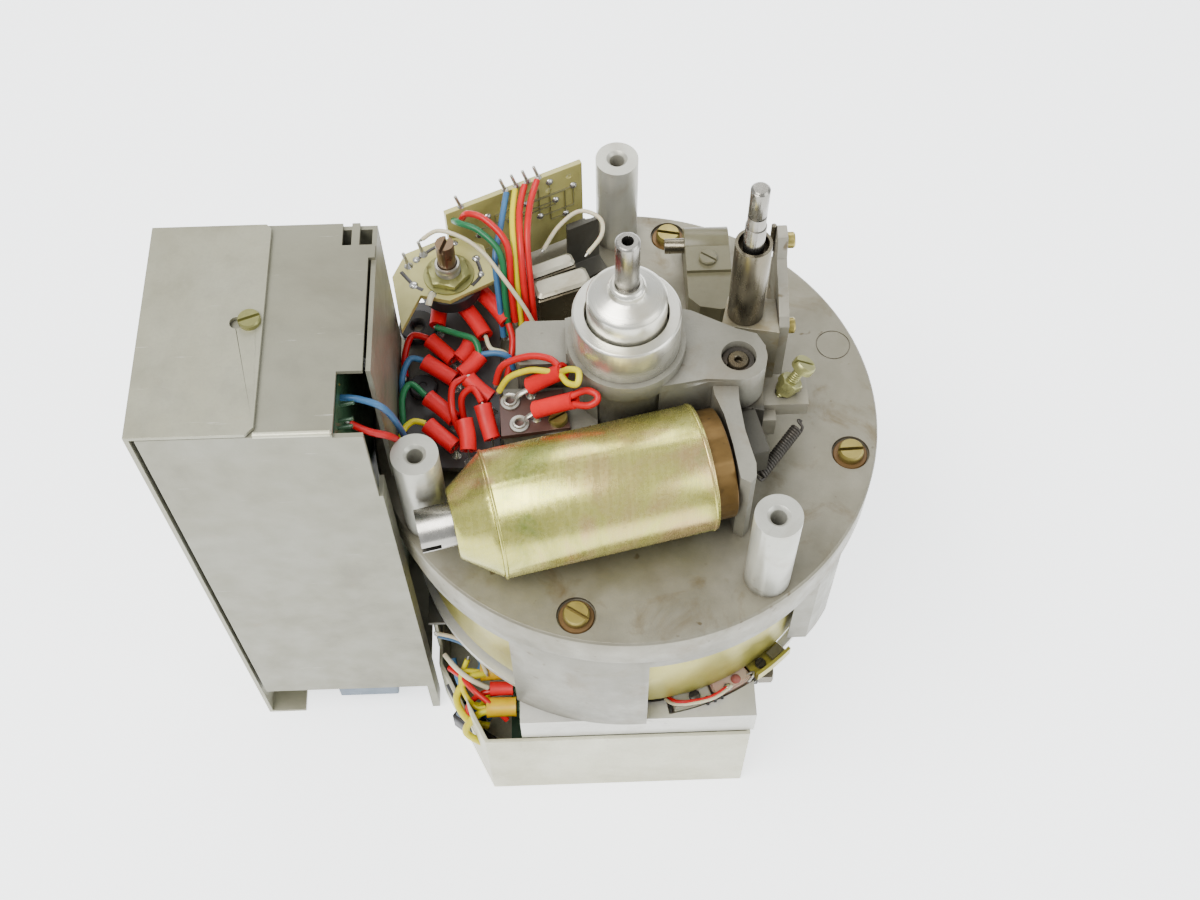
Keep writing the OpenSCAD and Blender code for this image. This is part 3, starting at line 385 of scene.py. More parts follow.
metal("tube_steel", (120, 114, 98), (92, 85, 69), 0.9, (0.22, 0.34), stain=(100, 78, 52), stain_amount=0.35,
      streak=(10.0, 10.0, 0.5), bump=0.05, crevice_shade=(60, 50, 34))
metal("spindle_steel", (138, 116, 92), (112, 92, 70), 0.8, (0.26, 0.4), stain=(84, 66, 46), stain_amount=0.5)
metal("brass", (166, 152, 84), (124, 108, 54), 0.7, (0.3, 0.44), stain=(78, 60, 26), stain_amount=0.9,
      crevice_shade=(56, 40, 16))
metal("pale_chromate", (160, 158, 104), (124, 122, 72), 0.65, (0.28, 0.42), stain=(112, 98, 54), stain_amount=0.6)
metal("stained_ring", (112, 84, 46), (72, 54, 32), 0.4, (0.4, 0.6), stain=(44, 36, 26), stain_amount=0.7)
metal("bronze", (112, 86, 44), (86, 66, 32), 0.7, (0.34, 0.5), stain=(60, 44, 24), stain_amount=0.6)
sheet("sheet_metal", 1.04)
# Painted shade: the box frame's copy of the sheet is darker than the cover's copy, for its inner walls in shade.
sheet("shaded_box_sheet", 0.67)
sheet("cover_sheet", 0.78)
board("black_phenolic", (52, 47, 44), (40, 36, 34))
board("brown_phenolic", (78, 50, 42), (58, 38, 32))
board("circuit_board", (184, 178, 112), (160, 152, 86))
board("dark_board", (118, 114, 74), (92, 88, 56))
board("green_board", (52, 84, 58), (40, 66, 46))
plastic("red_sleeve", (206, 24, 28), (178, 16, 22), (0.4, 0.56), soft=0.06, grain=1500, bump=0.12)
plastic("yellow_sleeve", (206, 168, 20), (186, 146, 16), (0.3, 0.45), soft=0.25)
plastic("red_wire", (190, 20, 24), (164, 14, 18), soft=0.15)
plastic("green_wire", (36, 112, 68), (24, 84, 52), soft=0.1)
plastic("blue_wire", (62, 104, 142), (48, 84, 124), soft=0.1)
plastic("yellow_wire", (206, 196, 30), (182, 166, 22), soft=0.15)
plastic("cream_wire", (200, 192, 164), (180, 170, 138), (0.3, 0.45), soft=0.15)
metal("tinned", (196, 194, 186), (168, 164, 152), 0.8, (0.25, 0.45), stain=(120, 100, 72), stain_amount=0.4)
metal("solder", (206, 206, 204), (170, 168, 162), 0.9, (0.15, 0.35), grain=500, bump=0.3)
plastic("black_plastic", (44, 42, 42), (30, 29, 30), (0.35, 0.5))
plastic("blue_grey_plastic", (104, 118, 132), (84, 98, 112), (0.4, 0.55))
plastic("beige_plastic", (102, 98, 76), (88, 84, 62), soft=0.02)
plastic("clear_grey_plastic", (158, 154, 136), (134, 130, 112), (0.3, 0.42), soft=0.2, coat=0.3)
plastic("pink_plastic", (176, 136, 118), (168, 154, 132), (0.3, 0.42), soft=0.1)
metal("magnet", (60, 60, 62), (46, 46, 48), 0.2, (0.5, 0.7))
metal("lamination", (90, 92, 98), (70, 72, 78), 0.5, (0.4, 0.6), streak=(0.3, 0.3, 40.0), bump=0.4)
metal("winding", (150, 84, 46), (120, 62, 34), 0.6, (0.25, 0.4), streak=(14.0, 14.0, 0.6), bump=0.4)
plastic("red_wax", (150, 50, 44), (128, 96, 84), (0.3, 0.5), soft=0.1)


# ---------------------------------------------------------------- mesh code

class Shape:
    """Vertices in millimetres, faces, and the slot of each face."""

    def __init__(self):
        self.verts, self.faces, self.slots = [], [], []

    def add(self, verts, faces, slot, place=None):
        base = len(self.verts)
        self.verts += [(place @ Vector(v)) if place else Vector(v) for v in verts]
        self.faces += [tuple(base + i for i in f) for f in faces]
        self.slots += [slot] * len(faces)
        return self


def grid_faces(rows, cols, wrap_rows=False):
    """Faces of a grid that closes on itself along its columns."""
    faces = []
    for i in range(rows if wrap_rows else rows - 1):
        for j in range(cols):
            a, b = i * cols + j, i * cols + (j + 1) % cols
            c, d = (i + 1) % rows * cols + (j + 1) % cols, (i + 1) % rows * cols + j
            faces.append((a, b, c, d))
    return faces


def lathe(shape, profile, slot, place=None, sides=40, closed=False):
    """Profile points are (radius, height); an open profile is capped at both ends."""
    verts = [(r * math.cos(2 * math.pi * k / sides), r * math.sin(2 * math.pi * k / sides), z)
             for r, z in profile for k in range(sides)]
    faces = grid_faces(len(profile), sides, wrap_rows=closed)
    if not closed:
        faces.append(tuple(reversed(range(sides))))
        faces.append(tuple((len(profile) - 1) * sides + k for k in range(sides)))
    return shape.add(verts, faces, slot, place)


def frames_along(points):
    count = len(points)
    tangents = [(points[min(i + 1, count - 1)] - points[max(i - 1, 0)]).normalized() for i in range(count)]
    normal = tangents[0].cross(Vector((0, 0, 1)) if abs(tangents[0].z) < 0.8 else Vector((1, 0, 0))).normalized()
    out = []
    for t in tangents:
        normal = (normal - normal.dot(t) * t).normalized()
        out.append((t, normal, t.cross(normal)))
    return out


def sweep(shape, points, radius, slot, sides=14, squash=1.0):
    """A tube along points; radius is one number or one for each point."""
    points = [Vector(p) for p in points]
    radii = radius if isinstance(radius, (list, tuple)) else [radius] * len(points)
    verts = []
    for p, r, (_, n, b) in zip(points, radii, frames_along(points)):
        for k in range(sides):
            a = 2 * math.pi * k / sides
            verts.append(p + r * (math.cos(a) * n + squash * math.sin(a) * b))
    faces = [tuple(reversed(f)) for f in grid_faces(len(points), sides)]
    faces.append(tuple(range(sides)))
    faces.append(tuple(reversed([(len(points) - 1) * sides + k for k in range(sides)])))
    return shape.add(verts, faces, slot)


def smooth(points, steps=8):
    """Smooth curve through the points of a route."""
    p = [Vector(q) for q in points]
    out = []
    for i in range(len(p) - 1):
        a, b, c, d = p[max(i - 1, 0)], p[i], p[i + 1], p[min(i + 2, len(p) - 1)]
        for s in range(steps):
            t = s / steps
            out.append(0.5 * (2 * b + (c - a) * t + (2 * a - 5 * b + 4 * c - d) * t * t
                              + (3 * b - a - 3 * c + d) * t ** 3))
    out.append(p[-1])
    return out


def hollow(shape, points, radius, bore, slot, sides=28, flare=0.12, oval=0.06, phase=0.0):
    """A soft open tube with wall thickness, slightly oval and flared at its cut ends."""
    points = [Vector(p) for p in points]
    count = len(points)
    rings = []
    for i in range(count):
        t = i / (count - 1)
        end = math.exp(-t / 0.08) + math.exp(-(1 - t) / 0.08)
        rings.append((i, radius * (1 + flare * 0.5 * end)))
    rings = ([(0, (radius + bore) / 2 * 1.03)] + rings + [(count - 1, (radius + bore) / 2 * 1.03)]
             + [(i, bore) for i in reversed(range(count))])
    frames = frames_along(points)
    verts = []
    for i, r in rings:
        _, n, b = frames[i]
        for k in range(sides):
            a = 2 * math.pi * k / sides + phase
            wob = 1 + oval * math.cos(2 * a + 1.3 * i / count)
            verts.append(points[i] + r * wob * (math.cos(a) * n + math.sin(a) * b))
    faces = [tuple(reversed(f)) for f in grid_faces(len(rings), sides, wrap_rows=True)]
    return shape.add(verts, faces, slot)


def block(shape, x, y, z, slot, place=None, chamfer=0.25):
    """Box with all its top and bottom edges broken."""
    (x0, x1), (y0, y1), (z0, z1) = x, y, z
    c = chamfer

    def ring(inset, h):
        a, b, d, e = x0 + inset, x1 - inset, y0 + inset, y1 - inset
        return [(a + c, d, h), (b - c, d, h), (b, d + c, h), (b, e - c, h),
                (b - c, e, h), (a + c, e, h), (a, e - c, h), (a, d + c, h)]

    rings = [ring(c, z0), ring(0, z0 + c), ring(0, z1 - c), ring(c, z1)]
    verts = [v for r in rings for v in r]
    faces = grid_faces(4, 8)
    faces += [tuple(reversed(range(8))), tuple(24 + k for k in range(8))]
    return shape.add(verts, faces, slot, place)


def slotted_head(shape, r, h, width, depth, slot, place, chamfer=0.3, dome=0.0):
    """Cheese head: a base disc and two halves that leave the slot between them."""
    base = h - depth
    lathe(shape, [(r, 0), (r, base)], slot, place)
    for side in (1, -1):
        a0 = math.asin(width / 2 / r)
        arc = [a0 + (math.pi - 2 * a0) * k / 24 for k in range(25)]
        outline = [(r * math.cos(a), side * r * math.sin(a)) for a in arc]
        top = [((r - chamfer) * math.cos(a), side * max(width / 2, (r - chamfer) * math.sin(a))) for a in arc]
        if side < 0:
            outline, top = outline[::-1], top[::-1]
        n = len(outline)
        levels = ((outline, base - 0.02), (outline, h - chamfer), (top, h + dome * 0.3))
        verts = [(*p, z) for ring, z in levels for p in ring]
        faces = grid_faces(3, n)
        faces += [tuple(reversed(range(n))), tuple(2 * n + k for k in range(n))]
        shape.add(verts, faces, slot, place)


def hex_body(shape, corner_r, h, slot, place, bore=0.0, sides=72):
    """Hexagon with turned chamfers; corner_r is the radius at its corners."""
    inner = corner_r * math.cos(math.pi / 6)

    def hex_r(a):
        return inner / math.cos((a + math.pi / 6) % (math.pi / 3) - math.pi / 6)

    angles = [2 * math.pi * k / sides for k in range(sides)]
    rings = [[(inner * 0.97, a, 0) for a in angles],
             [(hex_r(a), a, 0.15 + (hex_r(a) - inner) * 0.5) for a in angles],
             [(hex_r(a), a, h - 0.15 - (hex_r(a) - inner) * 0.5) for a in angles],
             [(inner * 0.97, a, h) for a in angles]]
    if bore:
        rings += [[(bore, a, z) for a in angles] for z in (h - 0.1, 0.1)]
    verts = [(r * math.cos(a), r * math.sin(a), z) for ring in rings for r, a, z in ring]
    faces = grid_faces(len(rings), sides, wrap_rows=bool(bore))
    if not bore:
        faces += [tuple(reversed(range(sides))), tuple((len(rings) - 1) * sides + k for k in range(sides))]
    return shape.add(verts, faces, slot, place)


def rotated(degrees):
    return Matrix.Rotation(math.radians(degrees), 4, "Z")


def place_at(origin, z_axis=(0, 0, 1), spin=0.0):
    z = Vector(z_axis).normalized()
    x = Vector((1, 0, 0)) if abs(z.x) < 0.9 else Vector((0, 1, 0))
    x = (x - x.dot(z) * z).normalized()
    rot = Matrix((x, z.cross(x), z)).transposed().to_4x4()
    return Matrix.Translation(Vector(origin)) @ rot @ Matrix.Rotation(spin, 4, "Z")


def piece(name, shape, body, replaces=(), bevel=0.0, sharp=35, blend=None):
    mesh = bpy.data.meshes.new(name)
    mesh.from_pydata([metres(v) for v in shape.verts], [], shape.faces)
    names = sorted(set(shape.slots))
    for s in names:
        mesh.materials.append(MATERIALS[s])
    mesh.polygons.foreach_set("material_index", [names.index(s) for s in shape.slots])
    mesh.validate()
    mesh.update()
    obj = bpy.data.objects.new(name, mesh)
    bpy.context.scene.collection.objects.link(obj)
    mesh.shade_smooth()
    mesh.set_sharp_from_angle(angle=math.radians(sharp))
    if bevel:
        add_bevel(obj, bevel)
    if blend:
        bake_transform(obj)
    else:
        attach(obj, body)
    if replaces:
        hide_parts(*replaces)
    return obj


def add_bevel(obj, width, segments=2):
    mod = obj.modifiers.new("edges", "BEVEL")
    mod.width = width / 1000
    mod.segments = segments
    mod.limit_method = "ANGLE"
    mod.angle_limit = math.radians(38)
    mod.harden_normals = True
    mod.use_clamp_overlap = True


# ---------------------------------------------------------------- CAD nodes that stay

# node: (material, bevel of its edges)
CAD_LOOKS = {
    "flange_plate": ("plate_alloy", 0.35), "motor_frame": ("cast_alloy", 0.5),
    "mounting_posts": ("post_alloy", 0.25), "bearing_housing": ("cast_alloy", 0.5),
    "bearing_ring": ("turned_alloy", 0.2), "bearing_bushes": ("bronze", 0.1),
    "capstan_shaft": ("bright_steel", 0.1), "dust_cap": ("turned_alloy", 0.25),
    "rotor_bell": ("rotor_chromate", 0.4), "rotor_magnets": ("magnet", 0.3), "stator_core": ("lamination", 0.1),
    "stator_windings": ("winding", 0.6), "lower_housing": ("bright_alloy", 0.4),
    "solenoid_can": ("gold_chromate", 0.3), "solenoid_nose": ("gold_chromate", 0.4),
    "solenoid_end_disc": ("bronze", 0.4), "solenoid_winding": ("winding", 0.3),
    "solenoid_plunger": ("bright_steel", 0.25), "pinch_lever": ("lever_steel", 0.5),
    "roller_post_tube": ("tube_steel", 0.15), "roller_pin": ("bright_steel", 0.12),
    "lever_side_plate": ("grey_steel", 0.3), "adjuster_bracket": ("grey_steel", 0.7),
    "clamp_block": ("beige_plastic", 0.5), "clamp_pin": ("tube_steel", 1.2), "tray": ("sheet_metal", 0.3),
    "tray_parts": ("green_board", 0.2), "brackets": ("bracket_steel", 0.2), "box_frame": ("shaded_box_sheet", 0.3),
    "box_cover": ("cover_sheet", 0.12), "box_board": ("green_board", 0.15),
    "box_capacitors": ("blue_grey_plastic", 0.5), "box_connector": ("blue_grey_plastic", 0.5),
    "terminal_board": ("black_phenolic", 0.15), "brown_board": ("brown_phenolic", 0.12),
    "signal_boards": ("circuit_board", 0.12), "pot_spindle": ("spindle_steel", 0.15),
}


def dress_cad_nodes():
    for name, (look, bevel) in CAD_LOOKS.items():
        obj = NODES[name]
        obj.data.materials.clear()
        obj.data.materials.append(MATERIALS[look])
        weld = obj.modifiers.new("weld", "WELD")
        weld.merge_threshold = 0.000002
        add_bevel(obj, bevel)


# ---------------------------------------------------------------- routes, as in the CAD

SLEEVE_R, SLEEVE_BORE = 2.2, 1.35
SLEEVES = [
    [[-50.9, 31.0, 13.5], [-51.6, 22.5, 12.5]],
    [[-44.6, 27.6, 15.5], [-38.1, 17.2, 14.5]],
    [[-39.6, 31.9, 15.5], [-31.9, 21.6, 14.5]],
    [[-53.5, 17.5, 13.0], [-47.0, 11.3, 12.0]],
    [[-54.7, 10.3, 13.0], [-46.4, 4.7, 12.0]],
    [[-53.6, -1.4, 13.0], [-46.2, -8.1, 12.0]],
    [[-53.4, -10.0, 13.0], [-46.0, -16.5, 12.0]],
    [[-42.0, 15.9, 13.5], [-45.3, 10.9, 12.5]],
    [[-39.4, 10.2, 15.0], [-44.4, 5.0, 14.0]],
    [[-42.4, 1.7, 17.0], [-36.4, -3.3, 15.0]],
    [[-38.4, -7.4, 18.0], [-36.0, -15.9, 14.5]],
    [[-43.4, -11.0, 16.5], [-42.4, -19.0, 14.0]],
]
LUG_SLEEVES = [
    [[-16.6, -6.2, 31.5], [-25.5, -5.0, 23.0]],
    [[-14.0, -14.6, 30.5], [-24.1, -12.3, 22.6]],
]
TRAY_SLEEVES = [
    [[-46.0, -43.0, -80], [-38.0, -43.0, -80], 2.9],
    [[-43.0, -49.0, -80], [-36.0, -49.0, -80], 2.1],
    [[-44.0, -55.0, -80], [-35.0, -55.0, -80], 2.9],
]
ROUTES = {
    "red": [
        [[-53.9, 17.9, 13.1], [-58.5, 19.0, 13.0], [-60.6, 14.0, 10.5], [-60.4, 8.0, 9.4]],
        [[-31.6, 21.0, 14.4], [-30.6, 16.5, 13.0], [-31.4, 11.0, 10.5], [-32.4, 6.5, 9.4]],
        [[-42.9, 2.1, 17.2], [-46.5, -1.0, 17.5], [-46.6, -8.0, 15.5], [-44.6, -12.0, 10.0]],
        [[-38.6, -6.8, 18.3], [-41.0, -2.5, 18.5], [-44.2, -4.0, 16.0], [-43.6, -9.0, 10.0]],
        [[-34.7, -2.1, 20.2], [-32.5, -0.2, 25.8], [-25.7, -0.1, 29.6], [-20.0, -2.3, 31.4], [-17.3, -5.8, 31.8]],
        [[-15.0, -13.7, 30.6], [-11.1, -13.3, 32.8], [-8.3, -14.9, 33.4], [-8.3, -16.5, 32.6], [-10.7, -17.0, 31.4],
         [-14.4, -15.4, 29.8]],
        [[-43.6, 44.2, 31.6], [-41.5, 43.0, 35.8], [-36.5, 40.0, 36.6], [-30.9, 33.5, 33.6], [-30.3, 26.0, 23.6],
         [-29.7, 21.5, 15.0]],
        [[-26.0, 53.6, 34.2], [-27.4, 45.0, 34.0], [-27.3, 34.0, 31.0], [-26.7, 25.6, 21.0], [-26.1, 20.4, 11.0]],
        [[-22.6, 55.2, 34.2], [-24.6, 46.0, 34.4], [-25.5, 36.0, 31.4], [-24.9, 27.0, 21.6], [-24.3, 21.0, 11.0]],
        [[-69.0, -27.6, 44.0], [-64.6, -28.4, 41.0], [-59.6, -27.2, 36.0], [-57.8, -22.0, 22.0], [-56.4, -17.0, 9.4]],
    ],
    "green": [
        [[-51.7, 21.9, 12.6], [-46.0, 17.6, 15.6], [-41.0, 14.6, 16.6], [-39.6, 11.0, 15.2]],
        [[-54.2, -0.9, 13.1], [-58.4, 3.0, 13.2], [-60.6, -1.0, 12.6], [-60.4, -8.0, 9.4]],
        [[-45.6, 44.2, 31.6], [-43.8, 41.0, 34.4], [-38.2, 37.4, 35.0], [-32.7, 31.7, 31.6], [-32.1, 24.6, 21.0],
         [-31.5, 20.0, 11.0]],
    ],
    "blue": [
        [[-55.2, 10.6, 13.2], [-58.8, 11.0, 13.4], [-60.9, 6.0, 12.0], [-60.8, 1.0, 9.4]],
        [[-38.9, 10.6, 15.2], [-35.0, 10.4, 16.0], [-31.6, 9.6, 15.0], [-30.6, 8.6, 11.0]],
        [[-31.0, 51.2, 34.2], [-32.6, 42.0, 32.0], [-34.5, 33.5, 28.0], [-33.9, 25.4, 19.4], [-33.3, 20.0, 10.0]],
        [[-71.0, -24.0, 50.0], [-66.0, -24.6, 50.0], [-60.4, -25.0, 46.0], [-58.2, -21.6, 30.0], [-58.6, -16.0, 9.4]],
        [[-58.5, -34.0, -72.0], [-51.0, -36.0, -74.0], [-46.0, -40.0, -79.0], [-46.6, -43.0, -80.0]],
    ],
    "yellow": [
        [[-54.0, -9.6, 13.1], [-57.6, -9.0, 13.2], [-60.4, -12.4, 12.4], [-60.0, -17.6, 9.4]],
        [[-33.9, -4.4, 19.8], [-31.0, -3.0, 24.2], [-25.8, -3.2, 27.6], [-21.6, -4.8, 29.6], [-17.6, -6.8, 31.0]],
        [[-17.0, -6.6, 31.6], [-14.8, -9.0, 36.4], [-12.6, -11.2, 38.4], [-13.1, -14.0, 37.2], [-15.6, -11.6, 34.2],
         [-17.4, -6.4, 30.9]],
        [[-28.6, 52.2, 34.2], [-29.4, 43.0, 33.4], [-29.1, 33.0, 30.4], [-28.5, 25.0, 20.0], [-27.9, 20.0, 10.0]],
        [[-46.4, -43.4, -79.6], [-51.6, -43.8, -79.0], [-51.2, -49.4, -80.0], [-47.6, -54.6, -80.0],
         [-44.4, -55.0, -80.0]],
        [[-50.0, -39.6, -78.6], [-52.4, -44.6, -84.0], [-50.4, -48.6, -89.4], [-46.6, -50.0, -90.4],
         [-43.4, -47.0, -87.0]],
    ],
    "cream": [
        [[-54.5, 41.0, 28.0], [-50.0, 41.6, 30.6], [-43.4, 38.4, 31.4], [-37.6, 33.6, 30.6], [-32.4, 27.0, 28.0],
         [-26.4, 21.4, 20.0], [-23.0, 18.6, 11.0]],
        [[-21.4, 41.5, 21.0], [-17.0, 47.0, 24.0], [-11.0, 51.0, 25.6], [-5.4, 48.8, 25.0], [-5.0, 44.0, 23.6],
         [-9.0, 39.4, 21.4]],
        [[-37.9, 16.9, 14.6], [-36.4, 12.0, 16.0], [-32.6, 11.4, 14.4], [-30.2, 10.2, 9.4]],
        [[-58.0, -36.0, -66.0], [-52.0, -37.4, -67.4], [-47.0, -40.0, -70.6], [-44.0, -45.0, -76.6]],
    ],
}


WIRE_RADII = {"red": 0.918, "green": 0.8925, "blue": 0.85, "yellow": 0.85, "cream": 0.612}


def wiring():
    for color, routes in ROUTES.items():
        shape = Shape()
        for route in routes:
            pts = smooth(route, 10)
            sweep(shape, pts, WIRE_RADII[color], color + "_wire", sides=16)
            for end, nxt in ((pts[0], pts[1]), (pts[-1], pts[-2])):
                out = (end - nxt).normalized()
                sweep(shape, [end - out * 0.4, end, end + out * 0.7, end + out * 1.3], [0.42, 0.42, 0.46, 0.25],
                      "tinned", sides=10)
        piece("wiring_" + color, shape, "root", replaces=["wires_" + color], sharp=50)


def sleeves():
    shape = Shape()
    for a, b in SLEEVES + LUG_SLEEVES:
        a, b = Vector(a), Vector(b)
        side = (b - a).cross(Vector((0, 0, 1))).normalized()
        bow = rng.uniform(-0.35, 0.35)
        pts = [a.lerp(b, t / 14) + side * bow * math.sin(math.pi * t / 14) for t in range(15)]
        hollow(shape, pts, SLEEVE_R * rng.uniform(0.96, 1.03), SLEEVE_BORE, "red_sleeve", phase=rng.uniform(0, 3))
    piece("sleeves_red", shape, "root", replaces=["terminal_sleeves"], sharp=60)
    shape = Shape()
    for k, (a, b, r) in enumerate(TRAY_SLEEVES):
        a, b = Vector(a), Vector(b)
        pts = [a.lerp(b, t / 10) for t in range(11)]
        hollow(shape, pts, r, r - 0.7, "red_sleeve" if k == 1 else "yellow_sleeve")
    piece("sleeves_tray", shape, "root", replaces=["tray_sleeves"], sharp=60)


# ---------------------------------------------------------------- fasteners

SIDE_SCREWS = [[27, 40.5], [26.1, 20.4], [10.5, 24.8]]
SIDE_FACE = 43.6
BOX_SCREW = (-91.2, -8.7, 61.4)
CLAMP_SCREW = (25.2, 42.4, 13.2)
BOARD_SCREW = (-18.4, -13.1, 18.6)
ADJUSTER = (42.6, -4.4, 16.6)
ADJUSTER_TILT, ADJUSTER_HEADING = math.radians(32), math.radians(25)
ADJUSTER_AXIS = (math.sin(ADJUSTER_TILT) * math.cos(ADJUSTER_HEADING),
                 math.sin(ADJUSTER_TILT) * math.sin(ADJUSTER_HEADING), math.cos(ADJUSTER_TILT))
PIVOT = (29, -4.2, 0)
POT = (-47.4, 31.1, 0)
SPRING_START, SPRING_END = Vector((33.8, -27.2, 8.0)), Vector((47.0, -11.2, 10.0))


def polar(r, degrees, z=0.0):
    return (r * math.cos(math.radians(degrees)), r * math.sin(math.radians(degrees)), z)


def thread(shape, r, z0, z1, pitch, slot, place, sides=24):
    """Cylinder whose surface rises and falls along a helix."""
    rows = max(4, int((z1 - z0) / pitch * 6))
    verts = []
    for i in range(rows + 1):
        z = z0 + (z1 - z0) * i / rows
        for k in range(sides):
            turn = (z / pitch - k / sides) % 1.0
            rr = r - 0.12 * abs(2 * turn - 1) * r
            a = 2 * math.pi * k / sides
            verts.append((rr * math.cos(a), rr * math.sin(a), z))
    faces = grid_faces(rows + 1, sides)
    faces += [tuple(reversed(range(sides))), tuple(rows * sides + k for k in range(sides))]
    shape.add(verts, faces, slot, place)


def plate_fasteners():
    screws, rings = Shape(), Shape()
    for a, spin in zip((-104, -14, 76, 166), (-34, 2, -12, 40)):
        seat = place_at(polar(63, a, -0.7), spin=math.radians(spin))
        slotted_head(screws, 3.5, 2.6, 1.0, 1.3, "brass", seat, chamfer=0.45, dome=0.8)
        thread(screws, 2.0, -15.2, 0.1, 0.7, "brass", seat)
        lathe(rings, [(2.25, -1.2), (4.6, -1.2), (4.75, -0.95), (4.5, -0.62), (3.3, -0.66), (2.25, -0.7)],
              "stained_ring", place_at(polar(63, a)), closed=True)
    piece("flange_screws", screws, "root", replaces=["plate_screws"])
    piece("flange_screw_rings", rings, "root", replaces=["plate_washers"])


def small_fasteners():
    shape = Shape()
    seat = place_at(BOX_SCREW, spin=math.radians(20))
    slotted_head(shape, 2.8, 1.5, 0.8, 0.9, "pale_chromate", seat, dome=0.4)
    thread(shape, 1.5, -7, 0.1, 0.6, "tinned", seat)
    seat = place_at(CLAMP_SCREW, spin=math.radians(-35))
    slotted_head(shape, 2.6, 1.3, 0.7, 0.85, "beige_plastic", seat)
    thread(shape, 1.5, -10.2, 0.1, 0.6, "tinned", seat)
    piece("cover_and_clamp_screws", shape, "root", replaces=["cover_screws"])

    shape = Shape()
    for (y, z), spin in zip(SIDE_SCREWS, (0.6, 1.4, 0.2)):
        seat = place_at((SIDE_FACE, y, z), (1, 0, 0), spin)
        slotted_head(shape, 2.2, 2.0, 0.6, 1.0, "brass", seat, dome=0.4)
        thread(shape, 1.0, -2.6, 0.1, 0.5, "brass", seat)
    piece("side_screws", shape, "lever", replaces=["side_plate_screws"])


def adjuster():
    seat = place_at(ADJUSTER, ADJUSTER_AXIS, math.radians(10))
    shape = Shape()
    thread(shape, 1.5, -6, 8.1, 0.7, "pale_chromate", seat)
    up = Matrix.Translation(Vector(ADJUSTER) + 8 * Vector(ADJUSTER_AXIS)) @ seat.to_3x3().to_4x4()
    slotted_head(shape, 3.1, 2.2, 0.8, 1.2, "pale_chromate", up, dome=0.5)
    piece("adjuster_screw", shape, "lever", replaces=["adjusting_screw"])
    shape = Shape()
    lift = Matrix.Translation(1.2 * Vector(ADJUSTER_AXIS)) @ seat
    hex_body(shape, 3.4, 2.4, "pale_chromate", lift, bore=1.52)
    lathe(shape, [(1.55, -2.1), (2.5, -2.1), (2.9, -0.4), (2.95, 0.05), (1.55, 0.05)], "pale_chromate", lift,
          closed=True)
    piece("adjuster_nut", shape, "lever", replaces=["adjusting_nut"])


def spring():
    start, end = SPRING_START, SPRING_END
    axis = (end - start).normalized()
    side = axis.cross(Vector((0, 0, 1))).normalized()
    up = side.cross(axis)
    length, coil_r, wire, turns, steps = (end - start).length, 1.36, 0.42, 21, 18
    body0, body1 = 0.08 * length, 0.9 * length
    points = [start + axis * 0.2 - side * 1.2 * math.cos(a) + up * 1.2 * math.sin(a) for a in
              [math.pi * k / 8 for k in range(8)]]
    for k in range(turns * steps + 1):
        a = 2 * math.pi * k / steps
        points.append(start + axis * (body0 + (body1 - body0) * k / (turns * steps))
                      + coil_r * (math.cos(a) * side + math.sin(a) * up))
    for k in range(1, 9):
        bend = math.cos(0.6 * k) * side * (1 - k / 14) + math.sin(0.3 * k) * up
        points.append(end - axis * 1.2 * (1 - k / 9) + coil_r * bend)
    shape = Shape()
    sweep(shape, points, wire, "dark_steel", sides=8)
    piece("tension_spring", shape, "root", replaces=["return_spring"], sharp=60,
          blend=("lever", start, end))


def pivot_with_clip():
    shape = Shape()
    base = place_at(PIVOT)
    lathe(shape, [(2.6, 4.6), (3.0, 5.0), (3.0, 30.2), (2.55, 30.25), (2.55, 30.75), (2.95, 30.8), (2.9, 31.0),
                  (2.5, 31.4), (1.2, 31.4), (1.0, 31.2), (0.9, 29.6), (0.1, 29.4)], "tube_steel", base, sides=48)
    arc = [math.radians(250 + k * 10) for k in range(31)]
    outer, inner = [], []
    for k, a in enumerate(arc):
        swell = 4.15 + 0.35 * math.exp(-(min(k, 30 - k) / 2.0) ** 2)
        outer.append((swell * math.cos(a), swell * math.sin(a)))
        inner.append((2.65 * math.cos(a), 2.65 * math.sin(a)))
    verts = [(*p, z) for z in (30.15, 30.8) for ring in (outer, inner) for p in ring]
    n = 31
    faces = []
    for k in range(n - 1):
        o0, i0, o1, i1 = k, n + k, 2 * n + k, 3 * n + k
        faces += [(o0, i0, i0 + 1, o0 + 1), (o1, o1 + 1, i1 + 1, i1),
                  (o0, o0 + 1, o1 + 1, o1), (i0, i1, i1 + 1, i0 + 1)]
    faces += [(0, 2 * n, 3 * n, n), (n - 1, 2 * n - 1, 4 * n - 1, 3 * n - 1)]
    shape.add(verts, faces, "dark_steel", base)
    for a in (arc[0], arc[-1]):
        lathe(shape, [(0.4, 30.1), (0.8, 30.1), (0.85, 30.2), (0.85, 30.8), (0.8, 30.9), (0.4, 30.9)], "dark_steel",
              Matrix.Translation(Vector((3.7 * math.cos(a), 3.7 * math.sin(a), 0))) @ base, sides=18, closed=True)
    piece("pivot_pin_and_clip", shape, "lever", replaces=["pivot_shaft"])


def lower_bolt():
    seat = place_at((36.2, -50.5, -67), (1, 0, 0))
    shape = Shape()
    lathe(shape, [(2.0, 0), (4.5, 0), (4.6, 0.15), (4.6, 1.45), (4.45, 1.6), (2.0, 1.6)], "dark_steel", seat,
          closed=True)
    hex_body(shape, 4.3, 4.6, "tube_steel", Matrix.Translation((1.6, 0, 0)) @ seat)
    thread(shape, 2.0, -2.6, 1.7, 0.8, "tube_steel", seat)
    piece("lower_hex_bolt", shape, "root", replaces=["housing_bolt"])


# ---------------------------------------------------------------- boards, tags and small parts

REAR = Matrix.Translation((-47.8, 45.2, 0)) @ rotated(24.2)


